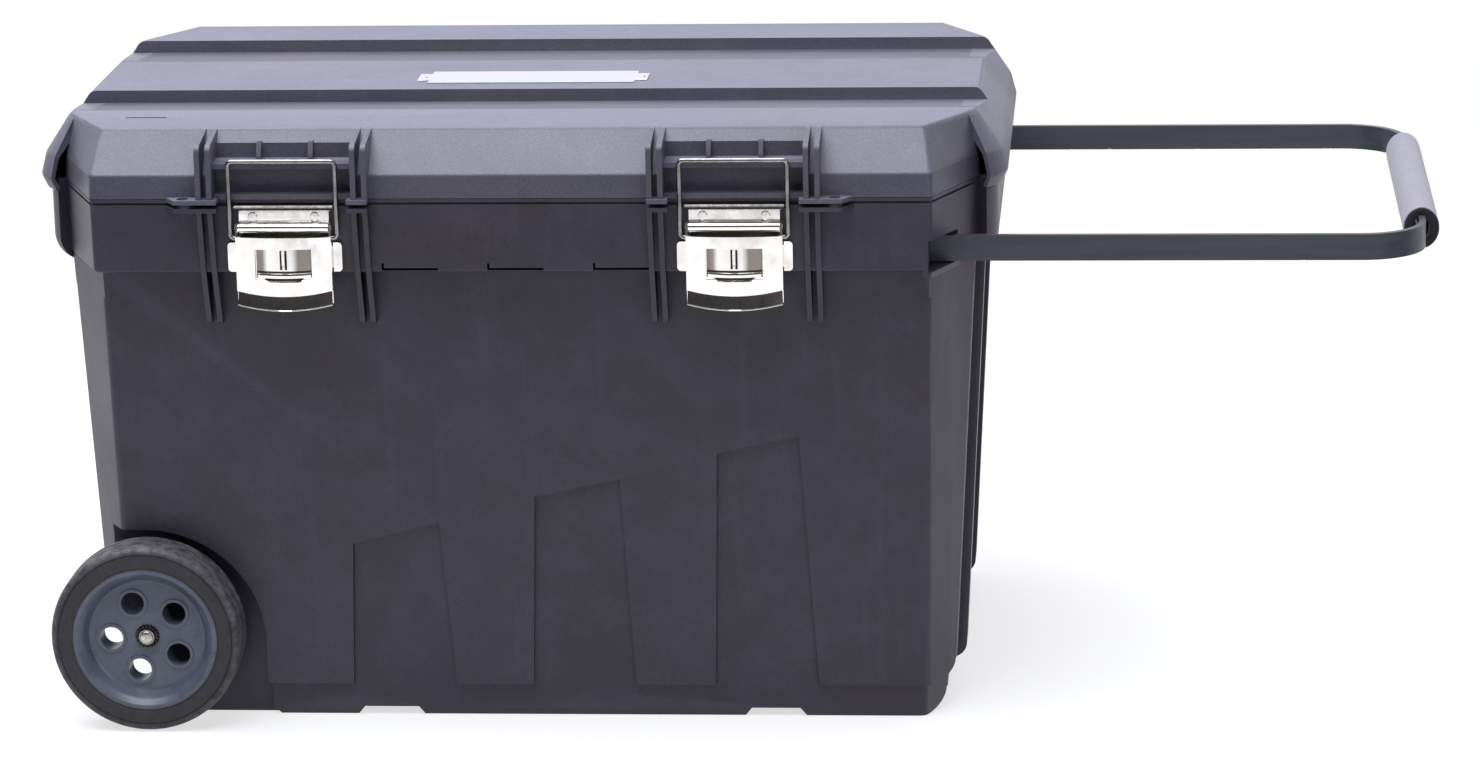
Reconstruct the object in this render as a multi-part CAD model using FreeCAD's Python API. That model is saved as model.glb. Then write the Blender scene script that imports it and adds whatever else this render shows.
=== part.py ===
import FreeCAD, Part
import math
import os

# Jobsite storage box: a wheeled, lockable plastic chest with a pull-out handle.
# Millimetres. +Z up, +X towards the pull handle, -Y towards the latches.
# The origin is the centre of the flat underside. The handle is drawn out, the lid
# and both latches are closed.

V = FreeCAD.Vector

# ---------------------------------------------------------------- driving sizes
# Plan of the chest at the rim. Every level of it is a rectangle with its corners cut off.
RIM_X, RIM_FRONT, RIM_REAR = 357.5, 245.0, 232.0
RIM_CORNER = (RIM_X - 34.7, 165.0)   # where a corner cut starts (X) and ends (Y)
PARTING_Z = 427.0        # underside of the lid
RIM_GAP = 0.4            # lid to rim
RIM_DRAFT = 1.0          # how far the band tapers in towards its lower edge

# Heights and outlines of the other levels
LID_H = 49.6             # lid's height over the parting plane
LID_BAND_H = 17.7        # height of its upright band, under the sloping sides
BAND_H = 58.4            # height of the rim band, below the parting plane
LID_Z = PARTING_Z + LID_H
LID_KNEE_Z = PARTING_Z + LID_BAND_H
BAND_LOW_Z = PARTING_Z - BAND_H
WALL_LOW_Z = 26.0        # lower edge of the wall panels, above the skirt
LID_TOP_X, LID_TOP_FRONT, LID_TOP_REAR = RIM_X - 8.5, RIM_FRONT - 29.0, RIM_REAR - 16.0
LID_KNEE_X, LID_KNEE_FRONT, LID_KNEE_REAR = RIM_X - 0.5, RIM_FRONT - 1.6, RIM_REAR - 1.0
WALL_TOP_X, WALL_TOP_Y = RIM_X - 3.5, RIM_REAR - 7.5
WALL_TAPER_X, WALL_TAPER_Y = 18.2, 18.5
WALL_BOTTOM_X, WALL_BOTTOM_Y = WALL_TOP_X - WALL_TAPER_X, WALL_TOP_Y - WALL_TAPER_Y
LID_TOP_CORNER = (RIM_CORNER[0] - 5.8, RIM_CORNER[1] - 2.2)
LID_KNEE_CORNER = RIM_CORNER
WALL_TOP_CORNER = (RIM_CORNER[0] - 3.0, RIM_CORNER[1] + 3.0)
WALL_BOTTOM_CORNER = (RIM_CORNER[0] - 7.7, RIM_CORNER[1] + 7.0)
CORNER_DRIFT = 0.6       # how far the ends of a corner cut move for each mm of inset
SKIRT_STEP = 3.5         # how far the skirt and the sunk bars lie behind the wall face
SKIRT_END_STEP = 2.5     # and how much further the skirt lies back at the two ends
SKIRT_LAP = 14.0         # how far the skirt runs up behind the panels

# Rounding of the outer edges
LID_EDGE_R = 5.0
WALL_CORNER_R = 8.0
BAND_CORNER_R = 5.0
BAND_EDGE_R = 2.5
RIB_EDGE_R = 6.0
PANEL_END_R = 13.0
SKIRT_END_R = 15.0
PANEL_TOE_R = 8.0

# Wall thicknesses
TUB_WALL = 6.5
LID_WALL = 4.0
BAND_SKIN = 3.5
DECK = 4.0
FLOOR = 10.0

# Lid
GROOVE_DEPTH = 10.0
GROOVES = ((-148.0, -66.0), (52.0, 148.0))   # gentle edge and steep edge of each groove
LANYARD_SLOT = (32.0, 3.0, 2.0)
LANYARD_SLOT_AT = (-290.0, -175.0)
FLANGE_T = 3.5
LOBE_X = RIM_X + 21.8    # outermost face of the lifting flanges
FLANGE_ROOT_X = RIM_X - 3.0      # where the flange leaves the lid's top face
FLANGE_SHOULDER = (RIM_X + 17.3, LID_Z - 30.5)
FLANGE_WIDEST_Z = PARTING_Z + 1.9
FLANGE_EDGE = (RIM_X + 17.3, PARTING_Z - 8.0)    # its lower edge, turned back in
FLANGE_OUTER_R = (8.0, 14.0, 6.0)    # root, shoulder and widest line, outside
FLANGE_INNER_R = (3.0, 10.0)
FLANGE_HALF_Y = 146.3    # end of the straight part of the flange
FLANGE_ROUND = 48.8      # plan radius of its curved ends
FLANGE_SWEEP = 42.9      # degrees that each curved end runs round
FLANGE_GAP = 0.7         # flange to carry lobe
GUSSET_Y, GUSSET_T = 60.0, 4.0   # webs between the flange and the lid
LID_RIM_W = 10.0         # thickened foot of the lid wall, over the seal
LID_RIM_H = 4.0
HINGE_PAD = 20.0         # half length of the solid wall at each hinge

# Rim band
LOBE_OUT_X = LOBE_X - 7.8    # carry lobe on each end of the band
LOBE_SWEEP = 38.0
LOBE_UNDER_R = 21.0
LOBE_LOW_Z = PARTING_Z - 67.0
LOBE_SKIN = 4.5
LOBE_POCKET_END = 12.0
INNER_RIM_Y = WALL_TOP_Y - 27.5  # chest opening, half width
INNER_RIM_X = RIM_X - 14.5       # chest opening, half length
INNER_CORNER = (20.0, 30.0)      # its corner cuts
SHELF_Z = PARTING_Z - 65.0       # floor of the handle tunnel
BEAD_Z = (PARTING_Z - 4.8, PARTING_Z - 2.9)      # groove round the band
BEAD_FLARE, BEAD_DEPTH = 0.6, 2.0
NOTCH_H = 3.6
NOTCH_DEPTH = 4.5        # through the band's skin
NOTCH_W = 43.5
NOTCH_PITCH = 81.5
NOTCH_FIRST_X = -77.5
TICK_W, TICK_H = 1.8, 7.4        # slit at the left end of each notch
BAND_RIB_T = 4.0
BAND_RIB_X = (-270.0, -190.0, -110.0, -30.0, 50.0, 130.0, 210.0, 280.0)

# Rim seal
SEAL_W, SEAL_H = 4.0, 2.2
SEAL_INSET = 4.0
SEAL_CLEARANCE = 0.1
SEAL_FOOT = 0.2          # seal and its groove stand this much higher than flush
SEAL_PROUD = 0.15

# Sunk bars in the long walls: left X, right X at foot, left X, right X at top, heights
SUNK_BARS = (
    (-139.0, -56.5, -134.7, -66.0, 143.0, 160.5),
    (4.0, 85.5, 9.9, 77.0, 182.0, 196.5),
    (148.0, 230.0, 153.5, 217.3, 217.5, 232.0),
)

# Strap grooves across the underside: left X, right X, depth
STRAP_GROOVES = ((-135.5, -84.6, 6.0), (172.0, 218.2, 6.0))
GROOVE_FLANK = 4.0

# Stand-up rails on the handle end
RAIL_Y, RAIL_W, RAIL_PROUD = 118.0, 34.0, 7.0
RAIL_LOW_Z, RAIL_TOE_R = 28.0, 12.0

# Wheels and their wells
WHEEL_R = 75.0
WHEEL_X = -296.0
WELL_Y = WALL_BOTTOM_Y - 11.0    # inner face of each wheel well
WELL_X = WHEEL_X + WHEEL_R + 14.0
WELL_Z = 2 * WHEEL_R + 4.0
WELL_ROUND = WHEEL_R + 17.0
SKIRT_TOE_X = WELL_X + 2.5       # left end of the skirt, its lower corner cut off
SKIRT_TOE_CUT = 6.0
TOE_X, TOE_SLOPE = -262.0, 1.2   # sloping toe between the wheels
AXLE_D = 12.0
AXLE_TUBE_R = 16.0
AXLE_FIT = 0.05
BOSS_R, BOSS_H = 20.0, 1.5
WASHER_D, WASHER_T = 26.0, 1.8
WASHER_GAP = 0.15
TYRE_W = 38.0
TYRE_FACE_Y = WELL_Y + 55.8
TYRE_SHOULDER = 5.0
HUB_FACE_STEP = 0.8      # hub's rim behind the tyre's face
HUB_R = WHEEL_R - 18.0
HUB_LIP_R = HUB_R - 7.5
HUB_DISC_Y = TYRE_FACE_Y - 12.8  # outer face of the hub's disc
HUB_DISC_T = 6.0
HUB_BOSS_R = 14.0
HUB_HOLES, HUB_HOLE_R, HUB_HOLE_PCD_R, HUB_HOLE_FIRST = 5, 9.1, HUB_R / 2, 40.0
HUB_COLLAR_W, HUB_COLLAR_H, HUB_COLLAR_DEEP = 2.6, 1.2, 12.0
HUB_BARREL_T = 7.0
HUB_RIB_T = 3.2
CAP_D, CAP_H = 17.0, 6.4
CAP_SKIN = 1.8           # axle end to the top of the cap
CAP_GAP = 0.3            # cap to the hub's disc

# Handle
BAR_T, BAR_H = 5.0, 20.2
BAR_Y = INNER_RIM_Y + 10.2       # centre of each leg
BAR_Z = SHELF_Z + 17.2
HANDLE_X = 698.0         # centre of the cross bar, handle fully out
BEND_R = 48.0
BAR_INNER_X = RIM_X - 113.5      # inner end of each leg, handle fully out
GRIP_HALF_Y = 144.0
GRIP_RX, GRIP_RZ = 14.0, 16.5
GRIP_HOLE_W = 12.0
GRIP_SLIT, GRIP_SLIT_TURN = 3.0, 35.0
GRIP_FIT = 0.2
STROKE = 300.0
SLIDER_L = 70.0
SLIDER_T = 1.6           # how far the slider stands proud of each face of the bar
GUIDE_FIT = 0.3
GUIDE_WALL = 3.2
PORT_X = RIM_X - 37.5
PORT_Z = (BAR_Z - 11.7, BAR_Z + 13.3)
PORT_WALL = 4.0
GUIDE_EXIT_X = PORT_X - 4.0
GUIDE_COLLAR = 16.0      # length of the narrow mouth that stops the slider
GUIDE_STOP_GAP = 0.5
GUIDE_SPARE = 15.0       # channel left beyond the slider, handle pushed in
TUNNEL_LEFT_X = -300.0
RIVET_D = 5.0
RIVET_AT = (12.0, 40.0)  # from the inner end of each leg
SCREW_D, SCREW_HEAD_D, SCREW_HEAD_H = 4.0, 8.0, 2.4
SCREW_PITCH = 165.0
SCREW_FIRST = 30.0       # from the channel's left end
SCREW_Z = SHELF_Z + 35.5
SCREW_BITE = 8.0         # screw's reach into the channel

# Latches
LATCH_X = 173.0
RIB_OFFSETS = (53.5, 62.0)
RIB_T = 4.0
RIB_FRONT_Y = -RIM_FRONT - 11.0
RIB_KNEE_Z = LID_Z - 6.6
RIB_WAIST = (-RIM_FRONT - 2.0, BAND_LOW_Z + 3.4)
RIB_TOE = (-WALL_TOP_Y - 6.0, BAND_LOW_Z - 43.1)
RECESS_Y, UNDERCUT_Y = -RIM_FRONT + 20.5, -RIM_FRONT + 12.0
LEDGE_TOP_Z, LEDGE_T, LEDGE_Y = PARTING_Z + 28.2, 4.0, -RIM_FRONT - 4.0
STIFFENER_X, STIFFENER_T, STIFFENER_Z = 20.0, 3.6, LEDGE_TOP_Z + 13.4
STIFFENER_FRONT, STIFFENER_HEAD = 8.0, 3.5
FLANGE_PLATE_Y = -RIM_FRONT - 13.4
LID_PLATE_Z = (PARTING_Z - 2.0, PARTING_Z + 1.4)
TUB_PLATE_Z = (PARTING_Z - 8.4, PARTING_Z - 5.2)
SILL_H = 3.4             # lip under the latch recess of the lid
EYE_REACH = (91.0, 83.0)     # root and tip of the padlock eye, from the latch centre
EYE_HOLE = (77.0, -RIM_FRONT - 6.0, 4.6)
PLATE_INNER = 50.0
LIP_Y = -RIM_FRONT - 2.0

HINGE_Y, HINGE_Z = -RIM_FRONT - 6.5, PARTING_Z - 21.0
BASE_W, BASE_T = 69.6, 1.5
BASE_LOW_Z, BASE_TOP_Z = HINGE_Z - 34.0, HINGE_Z + 12.4
EAR_HALF_W, EAR_T, EAR_Z = 44.2, 3.0, (HINGE_Z - 35.5, HINGE_Z - 12.5)
EAR_ROUND = 3.0
BARREL_R = 3.2
HINGE_PIN_D = 3.0
LEVER_HALF_W = 36.9
LEVER_T = 1.5
LEVER_TOP_Z, LEVER_LOW_Z, LEVER_SAG = HINGE_Z - 7.0, HINGE_Z - 49.0, 4.0
LEVER_FACE_Y, LEVER_BULGE = HINGE_Y - 3.1, 4.0
LIP_LOW_Z, LIP_SETBACK = LEVER_LOW_Z - 10.5, 3.0
WINDOW = (43.6, LEVER_LOW_Z + 7.2, LEVER_TOP_Z - 9.0)
WINDOW_FRAME = 1.2
SILL_R = 1.7
SILL_SINK = 0.4
PAN_Y, PAN_T = HINGE_Y - 0.2, 1.0
PAN_SLOT = (5.8, WINDOW[1] + 9.2, WINDOW[2])
CHEEK_BACK_Y = HINGE_Y + 4.2
CHEEK_GAP = 0.6
BAIL_D = 3.6
BAIL_HALF_W = LEVER_HALF_W + 4.3
BAIL_BEND = BAIL_D * 0.9
BAIL_PIVOT = (HINGE_Y + 1.5, HINGE_Z - 8.5)
BAIL_TOP_Z = LEDGE_TOP_Z + 2.2
BAIL_GAP = 0.45          # wire to the front of the lid's ledge
BAIL_TAIL = 1.6          # from the wire's end to the inside of the cheek
PIN_FIT = 0.1
STAPLE_W, STAPLE_T, STAPLE_Z = 32.0, 2.2, (HINGE_Z - 30.4, HINGE_Z - 17.4)
STAPLE_OUT_Y = HINGE_Y - 6.5
STAPLE_FOOT_T = 1.2
STAPLE_HOLE_R = 2.0
LATCH_RIVET_D, LATCH_RIVET_HEAD_D, LATCH_RIVET_HEAD_H = 4.0, 7.0, 1.2
LATCH_RIVETS = (
    (-24.0, HINGE_Z + 7.6), (24.0, HINGE_Z + 7.6), (-26.0, HINGE_Z - 27.0), (26.0, HINGE_Z - 27.0))

# Lid hinge
HINGE_PIN_Y, HINGE_KNUCKLE_R = RIM_REAR + 6.6, 6.0
HINGE_STATIONS = (-215.0, 0.0, 215.0)
LID_KNUCKLE_L, TUB_KNUCKLE_L, KNUCKLE_GAP = 34.0, 18.0, 0.6
LID_PIN_D = 5.0

# Name plate
PLATE_L, PLATE_W, PLATE_T = 166.0, 46.0, 0.9
PLATE_TAB_L, PLATE_TAB_W = 9.5, 26.0
PLATE_AT = (-4.0, -20.0)
PLATE_PIN_D, PLATE_PIN_HEAD_D, PLATE_PIN_HEAD_H = 3.0, 5.0, 0.8

EPS = 1.0                # overrun of a cutting tool past the face that it cuts


# ---------------------------------------------------------------- shape helpers
def closed(points):
    return Part.makePolygon(points + [points[0]])


def prism_xz(points, y0, y1):
    """Solid with the outline (x, z) swept from y0 to y1."""
    face = Part.Face(closed([V(x, y0, z) for x, z in points]))
    return face.extrude(V(0, y1 - y0, 0))


def prism_yz(points, x0, x1):
    face = Part.Face(closed([V(x0, y, z) for y, z in points]))
    return face.extrude(V(x1 - x0, 0, 0))


def prism_xy(points, z0, z1):
    face = Part.Face(closed([V(x, y, z0) for x, y in points]))
    return face.extrude(V(0, 0, z1 - z0))


def box(x0, x1, y0, y1, z0, z1):
    low = V(min(x0, x1), min(y0, y1), min(z0, z1))
    return Part.makeBox(abs(x1 - x0), abs(y1 - y0), abs(z1 - z0), low)


def rod_x(x0, x1, y, z, radius):
    return Part.makeCylinder(radius, x1 - x0, V(x0, y, z), V(1, 0, 0))


def rod_y(y0, y1, x, z, radius):
    start = min(y0, y1)
    return Part.makeCylinder(radius, abs(y1 - y0), V(x, start, z), V(0, 1, 0))


def rod_z(z0, z1, x, y, radius):
    return Part.makeCylinder(radius, z1 - z0, V(x, y, z0), V(0, 0, 1))


def rounded(points, radii):
    """Closed wire through the points, each corner rounded to its radius; 0 leaves it sharp."""
    count = len(points)
    corners = []
    for i, radius in enumerate(radii):
        corner = points[i]
        back = (points[i - 1] - corner).normalize()
        ahead = (points[(i + 1) % count] - corner).normalize()
        half = back.getAngle(ahead) / 2
        reach = radius / math.tan(half)
        middle = corner + (back + ahead).normalize() * (radius / math.sin(half) - radius)
        corners.append((corner + back * reach, middle, corner + ahead * reach, radius))
    edges = []
    for i, (start, middle, end, radius) in enumerate(corners):
        if radius:
            edges.append(Part.Arc(start, middle, end).toShape())
        edges.append(Part.makeLine(end, corners[(i + 1) % count][0]))
    return Part.Wire(edges)


def rounded_yz(outline, radii, x0, x1):
    """Solid with the rounded outline (y, z) swept from x0 to x1."""
    face = Part.Face(rounded([V(x0, y, z) for y, z in outline], radii))
    return face.extrude(V(x1 - x0, 0, 0))


def rounded_xz(outline, radii, y0, y1):
    face = Part.Face(rounded([V(x, y0, z) for x, z in outline], radii))
    return face.extrude(V(0, y1 - y0, 0))


def soften(shape, radius, wanted):
    """Round the wanted edges of a shape."""
    return shape.makeFillet(radius, [edge for edge in shape.Edges if wanted(edge.BoundBox)])


def fuse(shapes):
    first = shapes[0]
    return first.multiFuse(shapes[1:]) if len(shapes) > 1 else first


def mirror_x(shape):
    return shape.mirror(V(0, 0, 0), V(1, 0, 0))


def level(z, half_x, front, rear, corner, inset=0.0):
    """Plan outline at height z: a rectangle with cut corners, moved in by inset."""
    cx, cy = corner
    slope = inset * CORNER_DRIFT
    hx, yf, yr = half_x - inset, front - inset, rear - inset
    kx = cx - slope
    ky_front = cy - slope
    ky_rear = cy - slope
    points = [
        (kx, -yf), (hx, -ky_front), (hx, ky_rear), (kx, yr),
        (-kx, yr), (-hx, ky_rear), (-hx, -ky_front), (-kx, -yf),
    ]
    return closed([V(x, y, z) for x, y in points])


def loft(*outlines):
    return Part.makeLoft(list(outlines), True, True)


def along(z, low, high):
    """Share of the way up the tapering wall at height z."""
    return (z - low) / (high - low)


def wall_level(z, inset=0.0, end_step=0.0):
    """Outline of the tapering lower wall, at any height."""
    t = along(z, WALL_LOW_Z, BAND_LOW_Z)
    hx = WALL_BOTTOM_X + t * (WALL_TOP_X - WALL_BOTTOM_X)
    hy = WALL_BOTTOM_Y + t * (WALL_TOP_Y - WALL_BOTTOM_Y)
    cx = WALL_BOTTOM_CORNER[0] + t * (WALL_TOP_CORNER[0] - WALL_BOTTOM_CORNER[0])
    cy = WALL_BOTTOM_CORNER[1] + t * (WALL_TOP_CORNER[1] - WALL_BOTTOM_CORNER[1])
    return level(z, hx - end_step, hy, hy, (cx, cy), inset)


def wall_y(z):
    t = along(z, WALL_LOW_Z, BAND_LOW_Z)
    return WALL_BOTTOM_Y + t * (WALL_TOP_Y - WALL_BOTTOM_Y)


def wall_x(z):
    t = along(z, WALL_LOW_Z, BAND_LOW_Z)
    return WALL_BOTTOM_X + t * (WALL_TOP_X - WALL_BOTTOM_X)


def round_off(x, z, radius, side):
    """Tool that rounds a lower edge running along Y at (x, z), and clears all beyond it."""
    far = 2 * LOBE_X
    cx = x - side * radius
    block = box(cx, side * far, -far, far, z - EPS, z + radius)
    return block.cut(rod_y(-far, far, cx, z + radius, radius))


def rim_outline(z, inset=0.0):
    return level(z, RIM_X, RIM_FRONT, RIM_REAR, RIM_CORNER, inset)


# ---------------------------------------------------------------- tub
def well_outline(grow):
    """Side view of a wheel well, grown outwards by a wall thickness."""
    radius = WELL_ROUND + grow
    cx, cz = WELL_X - WELL_ROUND, WELL_Z - WELL_ROUND
    far_x, far_z = -2 * LOBE_X, -40.0
    a, b, c = V(cx + radius, 0, cz), V(0, 0, 0), V(cx, 0, cz + radius)
    b = V(cx + radius * math.cos(math.pi / 4), 0, cz + radius * math.sin(math.pi / 4))
    edges = [
        Part.makeLine(V(far_x, 0, far_z), V(cx + radius, 0, far_z)),
        Part.makeLine(V(cx + radius, 0, far_z), a),
        Part.Arc(a, b, c).toShape(),
        Part.makeLine(c, V(far_x, 0, cz + radius)),
        Part.makeLine(V(far_x, 0, cz + radius), V(far_x, 0, far_z)),
    ]
    return Part.Face(Part.Wire(edges))


def well_block(grow, y0, y1):
    return well_outline(grow).translated(V(0, y0, 0)).extrude(V(0, y1 - y0, 0))


def toe_block(grow):
    """Everything under the sloping toe, its face moved into the chest by grow."""
    lift = grow * math.hypot(1.0, TOE_SLOPE)
    low, far = -40.0, -2 * LOBE_X
    x_low = TOE_X + (lift - low) / TOE_SLOPE
    z_far = (TOE_X - far) * TOE_SLOPE + lift
    return prism_xz([(x_low, low), (far, low), (far, z_far)], -RIM_FRONT, RIM_FRONT)


def lobe(side):
    """Rounded carry lobe on one end of the band."""
    top = PARTING_Z - RIM_GAP
    outline = [(INNER_RIM_X, LOBE_LOW_Z), (LOBE_OUT_X, LOBE_LOW_Z), (LOBE_OUT_X, top), (INNER_RIM_X, top)]
    return round_the_end(outline, (0, LOBE_UNDER_R, 0, 0), LOBE_SWEEP, side)


def handle_tunnel(side, rim_y):
    """Space in the rim for one handle leg and its guide; open below at the band."""
    left, right = TUNNEL_LEFT_X, GUIDE_EXIT_X
    inner = INNER_RIM_Y + DECK
    top = PARTING_Z - RIM_GAP - DECK
    wall_inner = WALL_TOP_Y - TUB_WALL
    shapes = [
        box(left, right, side * inner, side * wall_inner, SHELF_Z, top),
        box(left, right, side * (wall_inner - EPS), side * WALL_TOP_Y, SHELF_Z + DECK, top),
        box(left, right, side * WALL_TOP_Y, side * (rim_y - BAND_SKIN), BAND_LOW_Z - EPS, top),
    ]
    return fuse(shapes)


def latch_ribs(centre, outline, radii):
    """Four upright ribs, in a pair on each side of a latch."""
    ribs = []
    for offset in RIB_OFFSETS:
        for side in (-1, 1):
            x = centre + side * offset
            ribs.append(rounded_yz(outline, radii, x, x + side * RIB_T))
    return ribs


def latch_ribs_lid(centre):
    slope_back = LID_TOP_FRONT - 1.0
    outline = [
        (-slope_back, LID_Z), (RIB_FRONT_Y, RIB_KNEE_Z), (RIB_FRONT_Y, PARTING_Z),
        (-RIM_FRONT + 3.0, PARTING_Z), (-slope_back, LID_Z - 20.0),
    ]
    return latch_ribs(centre, outline, (0, RIB_EDGE_R, 0, 0, 0))


def latch_ribs_tub(centre):
    top = TUB_PLATE_Z[0] + 1.0
    outline = [
        (RIB_FRONT_Y, top), RIB_WAIST, RIB_TOE, (-wall_y(RIB_TOE[1]) + 2.0, RIB_TOE[1]),
        (-WALL_TOP_Y + 2.0, BAND_LOW_Z), (-RIM_FRONT + 2.0, BAND_LOW_Z + 8.0), (-RIM_FRONT + 2.0, top),
    ]
    return latch_ribs(centre, outline, (0, 2 * RIB_EDGE_R, RIB_EDGE_R / 2, 0, 0, 0, 0))


def latch_plates(centre, heights):
    """Flange across each rib pair; on the outer side it ends in a padlock eye."""
    outward = 1 if centre > 0 else -1
    z0, z1 = heights
    rib_end = RIB_OFFSETS[1] + RIB_T
    root_y = -RIM_FRONT - RIM_GAP
    eye = [
        (centre + outward * PLATE_INNER, root_y),
        (centre + outward * PLATE_INNER, FLANGE_PLATE_Y),
        (centre + outward * EYE_REACH[1], FLANGE_PLATE_Y),
        (centre + outward * EYE_REACH[0], root_y),
    ]
    plain = box(
        centre - outward * PLATE_INNER, centre - outward * rib_end,
        FLANGE_PLATE_Y, root_y, z0, z1,
    )
    x, y, radius = EYE_HOLE
    hole = rod_z(z0 - EPS, z1 + EPS, centre + outward * x, y, radius)
    outer = prism_xy(eye, z0, z1).cut(hole)
    return [outer, plain]


def make_tub():
    # Lower walls, with the bars sunk to the level of the skirt
    walls = loft(wall_level(WALL_LOW_Z), wall_level(BAND_LOW_Z + 2))
    walls = soften(walls, WALL_CORNER_R, lambda b: b.ZLength > 50)
    core = loft(wall_level(WALL_LOW_Z - 2, SKIRT_STEP), wall_level(BAND_LOW_Z, SKIRT_STEP))
    for x0, x1, x2, x3, z_left, z_right in SUNK_BARS:
        outline = [
            (x0, WALL_LOW_Z - EPS), (x1, WALL_LOW_Z - EPS), (x3, z_right), (x2, z_left),
        ]
        bar = prism_xz(outline, -RIM_FRONT, RIM_FRONT).cut(core)
        walls = walls.cut(bar)
    for side in (-1, 1):
        walls = walls.cut(round_off(side * WALL_BOTTOM_X, WALL_LOW_Z, PANEL_END_R, side))
    walls = walls.cut(round_off(WELL_X, WALL_LOW_Z, PANEL_TOE_R, -1))
    skirt = loft(
        wall_level(0.0, SKIRT_STEP, SKIRT_END_STEP),
        wall_level(WALL_LOW_Z + SKIRT_LAP, SKIRT_STEP, SKIRT_END_STEP))
    skirt = soften(skirt, WALL_CORNER_R, lambda b: b.ZLength > 30)
    skirt_end = wall_x(0) - SKIRT_STEP - SKIRT_END_STEP
    for side in (-1, 1):
        skirt = skirt.cut(round_off(side * skirt_end, 0.0, SKIRT_END_R, side))

    # Rim band with its carry lobes
    rim_top = PARTING_Z - RIM_GAP
    band = loft(rim_outline(BAND_LOW_Z, RIM_DRAFT), rim_outline(rim_top))
    band = soften(band, BAND_CORNER_R, lambda b: b.ZLength > 20)
    band = soften(band, BAND_EDGE_R, lambda b: b.ZMax < BAND_LOW_Z + 0.1)
    z0, z1 = BEAD_Z
    bead_groove = loft(rim_outline(z0, -EPS), rim_outline(z1, -EPS)).cut(
        loft(rim_outline(z0 - BEAD_FLARE, BEAD_DEPTH), rim_outline(z1 + BEAD_FLARE, BEAD_DEPTH)))
    band = band.cut(bead_groove)
    for i in range(3):
        x = NOTCH_FIRST_X + i * NOTCH_PITCH
        for side, rim_y in ((-1, RIM_FRONT), (1, RIM_REAR)):
            skin = (side * (rim_y - RIM_DRAFT - NOTCH_DEPTH), side * (rim_y + EPS))
            left, right = x - NOTCH_W / 2, x + NOTCH_W / 2
            band = band.cut(box(left, right, *skin, BAND_LOW_Z - EPS, BAND_LOW_Z + NOTCH_H))
            band = band.cut(box(left, left + TICK_W, *skin, BAND_LOW_Z - EPS, BAND_LOW_Z + TICK_H))
    upper = loft(wall_level(BAND_LOW_Z - 25, 0), wall_level(rim_top, 0))
    upper = upper.common(loft(rim_outline(BAND_LOW_Z - 30), rim_outline(rim_top)))
    solids = [walls, skirt, band, upper, lobe(1), lobe(-1)]

    # Stand-up rails on the handle end
    rail = [
        (wall_x(RAIL_LOW_Z) - RAIL_TOE_R, RAIL_LOW_Z), (wall_x(RAIL_LOW_Z) + RAIL_PROUD, RAIL_LOW_Z),
        (WALL_TOP_X + RAIL_PROUD, BAND_LOW_Z), (WALL_TOP_X - 3, BAND_LOW_Z),
    ]
    for side in (-1, 1):
        y0 = side * RAIL_Y - RAIL_W / 2
        solids.append(rounded_xz(rail, (0, RAIL_TOE_R, 0, 0), y0, y0 + RAIL_W))

    # Blocks round the two handle ports
    block_z = (PORT_Z[0] - PORT_WALL, PORT_Z[1] + PORT_WALL)
    for side, rim_y in ((-1, RIM_FRONT), (1, RIM_REAR)):
        block = box(
            GUIDE_EXIT_X, RIM_X, side * INNER_RIM_Y, side * (rim_y - RIM_DRAFT), *block_z)
        hull = loft(rim_outline(block_z[0], RIM_DRAFT), rim_outline(block_z[1], RIM_GAP))
        solids.append(block.common(hull))

    # Latch ribs and flanges, hinge knuckles
    for centre in (-LATCH_X, LATCH_X):
        solids += latch_ribs_tub(centre)
        solids += latch_plates(centre, TUB_PLATE_Z)
        lip = box(
            centre - RIB_OFFSETS[0], centre + RIB_OFFSETS[0],
            LIP_Y, -RIM_FRONT + 1.0, TUB_PLATE_Z[0] + 0.8, TUB_PLATE_Z[1] - 0.4,
        )
        solids.append(lip)
    for y in (-WELL_Y, WELL_Y):
        side = 1 if y > 0 else -1
        solids.append(rod_y(side * (WELL_Y - 4), side * (WELL_Y + BOSS_H), WHEEL_X, WHEEL_R, BOSS_R))
    outer = fuse(solids)

    # Chest space
    lower = loft(wall_level(FLOOR, TUB_WALL), wall_level(SHELF_Z - DECK, TUB_WALL))
    corner = (INNER_RIM_X - INNER_CORNER[0], INNER_RIM_Y - INNER_CORNER[1])
    mouth = level(SHELF_Z - DECK - EPS, INNER_RIM_X, INNER_RIM_Y, INNER_RIM_Y, corner)
    mouth_top = level(rim_top + EPS, INNER_RIM_X, INNER_RIM_Y, INNER_RIM_Y, corner)
    keep = [
        well_block(TUB_WALL, WELL_Y - TUB_WALL, RIM_FRONT),
        well_block(TUB_WALL, -RIM_FRONT, -WELL_Y + TUB_WALL),
        toe_block(TUB_WALL),
        rod_y(-RIM_FRONT, RIM_FRONT, WHEEL_X, WHEEL_R, AXLE_TUBE_R),
    ]
    space = fuse([lower.cut(keep), loft(mouth, mouth_top)])

    tub = outer.cut(space)
    toe = [
        (-LOBE_X, -EPS), (SKIRT_TOE_X + SKIRT_TOE_CUT + EPS, -EPS), (SKIRT_TOE_X, SKIRT_TOE_CUT),
        (SKIRT_TOE_X, WALL_LOW_Z), (-LOBE_X, WALL_LOW_Z),
    ]
    for side in (-1, 1):
        y0, y1 = min(side * WELL_Y, side * 2 * RIM_FRONT), max(side * WELL_Y, side * 2 * RIM_FRONT)
        tub = tub.cut(well_block(0.0, y0, y1))
        tub = tub.cut(prism_xz(toe, y0, y1))
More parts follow.
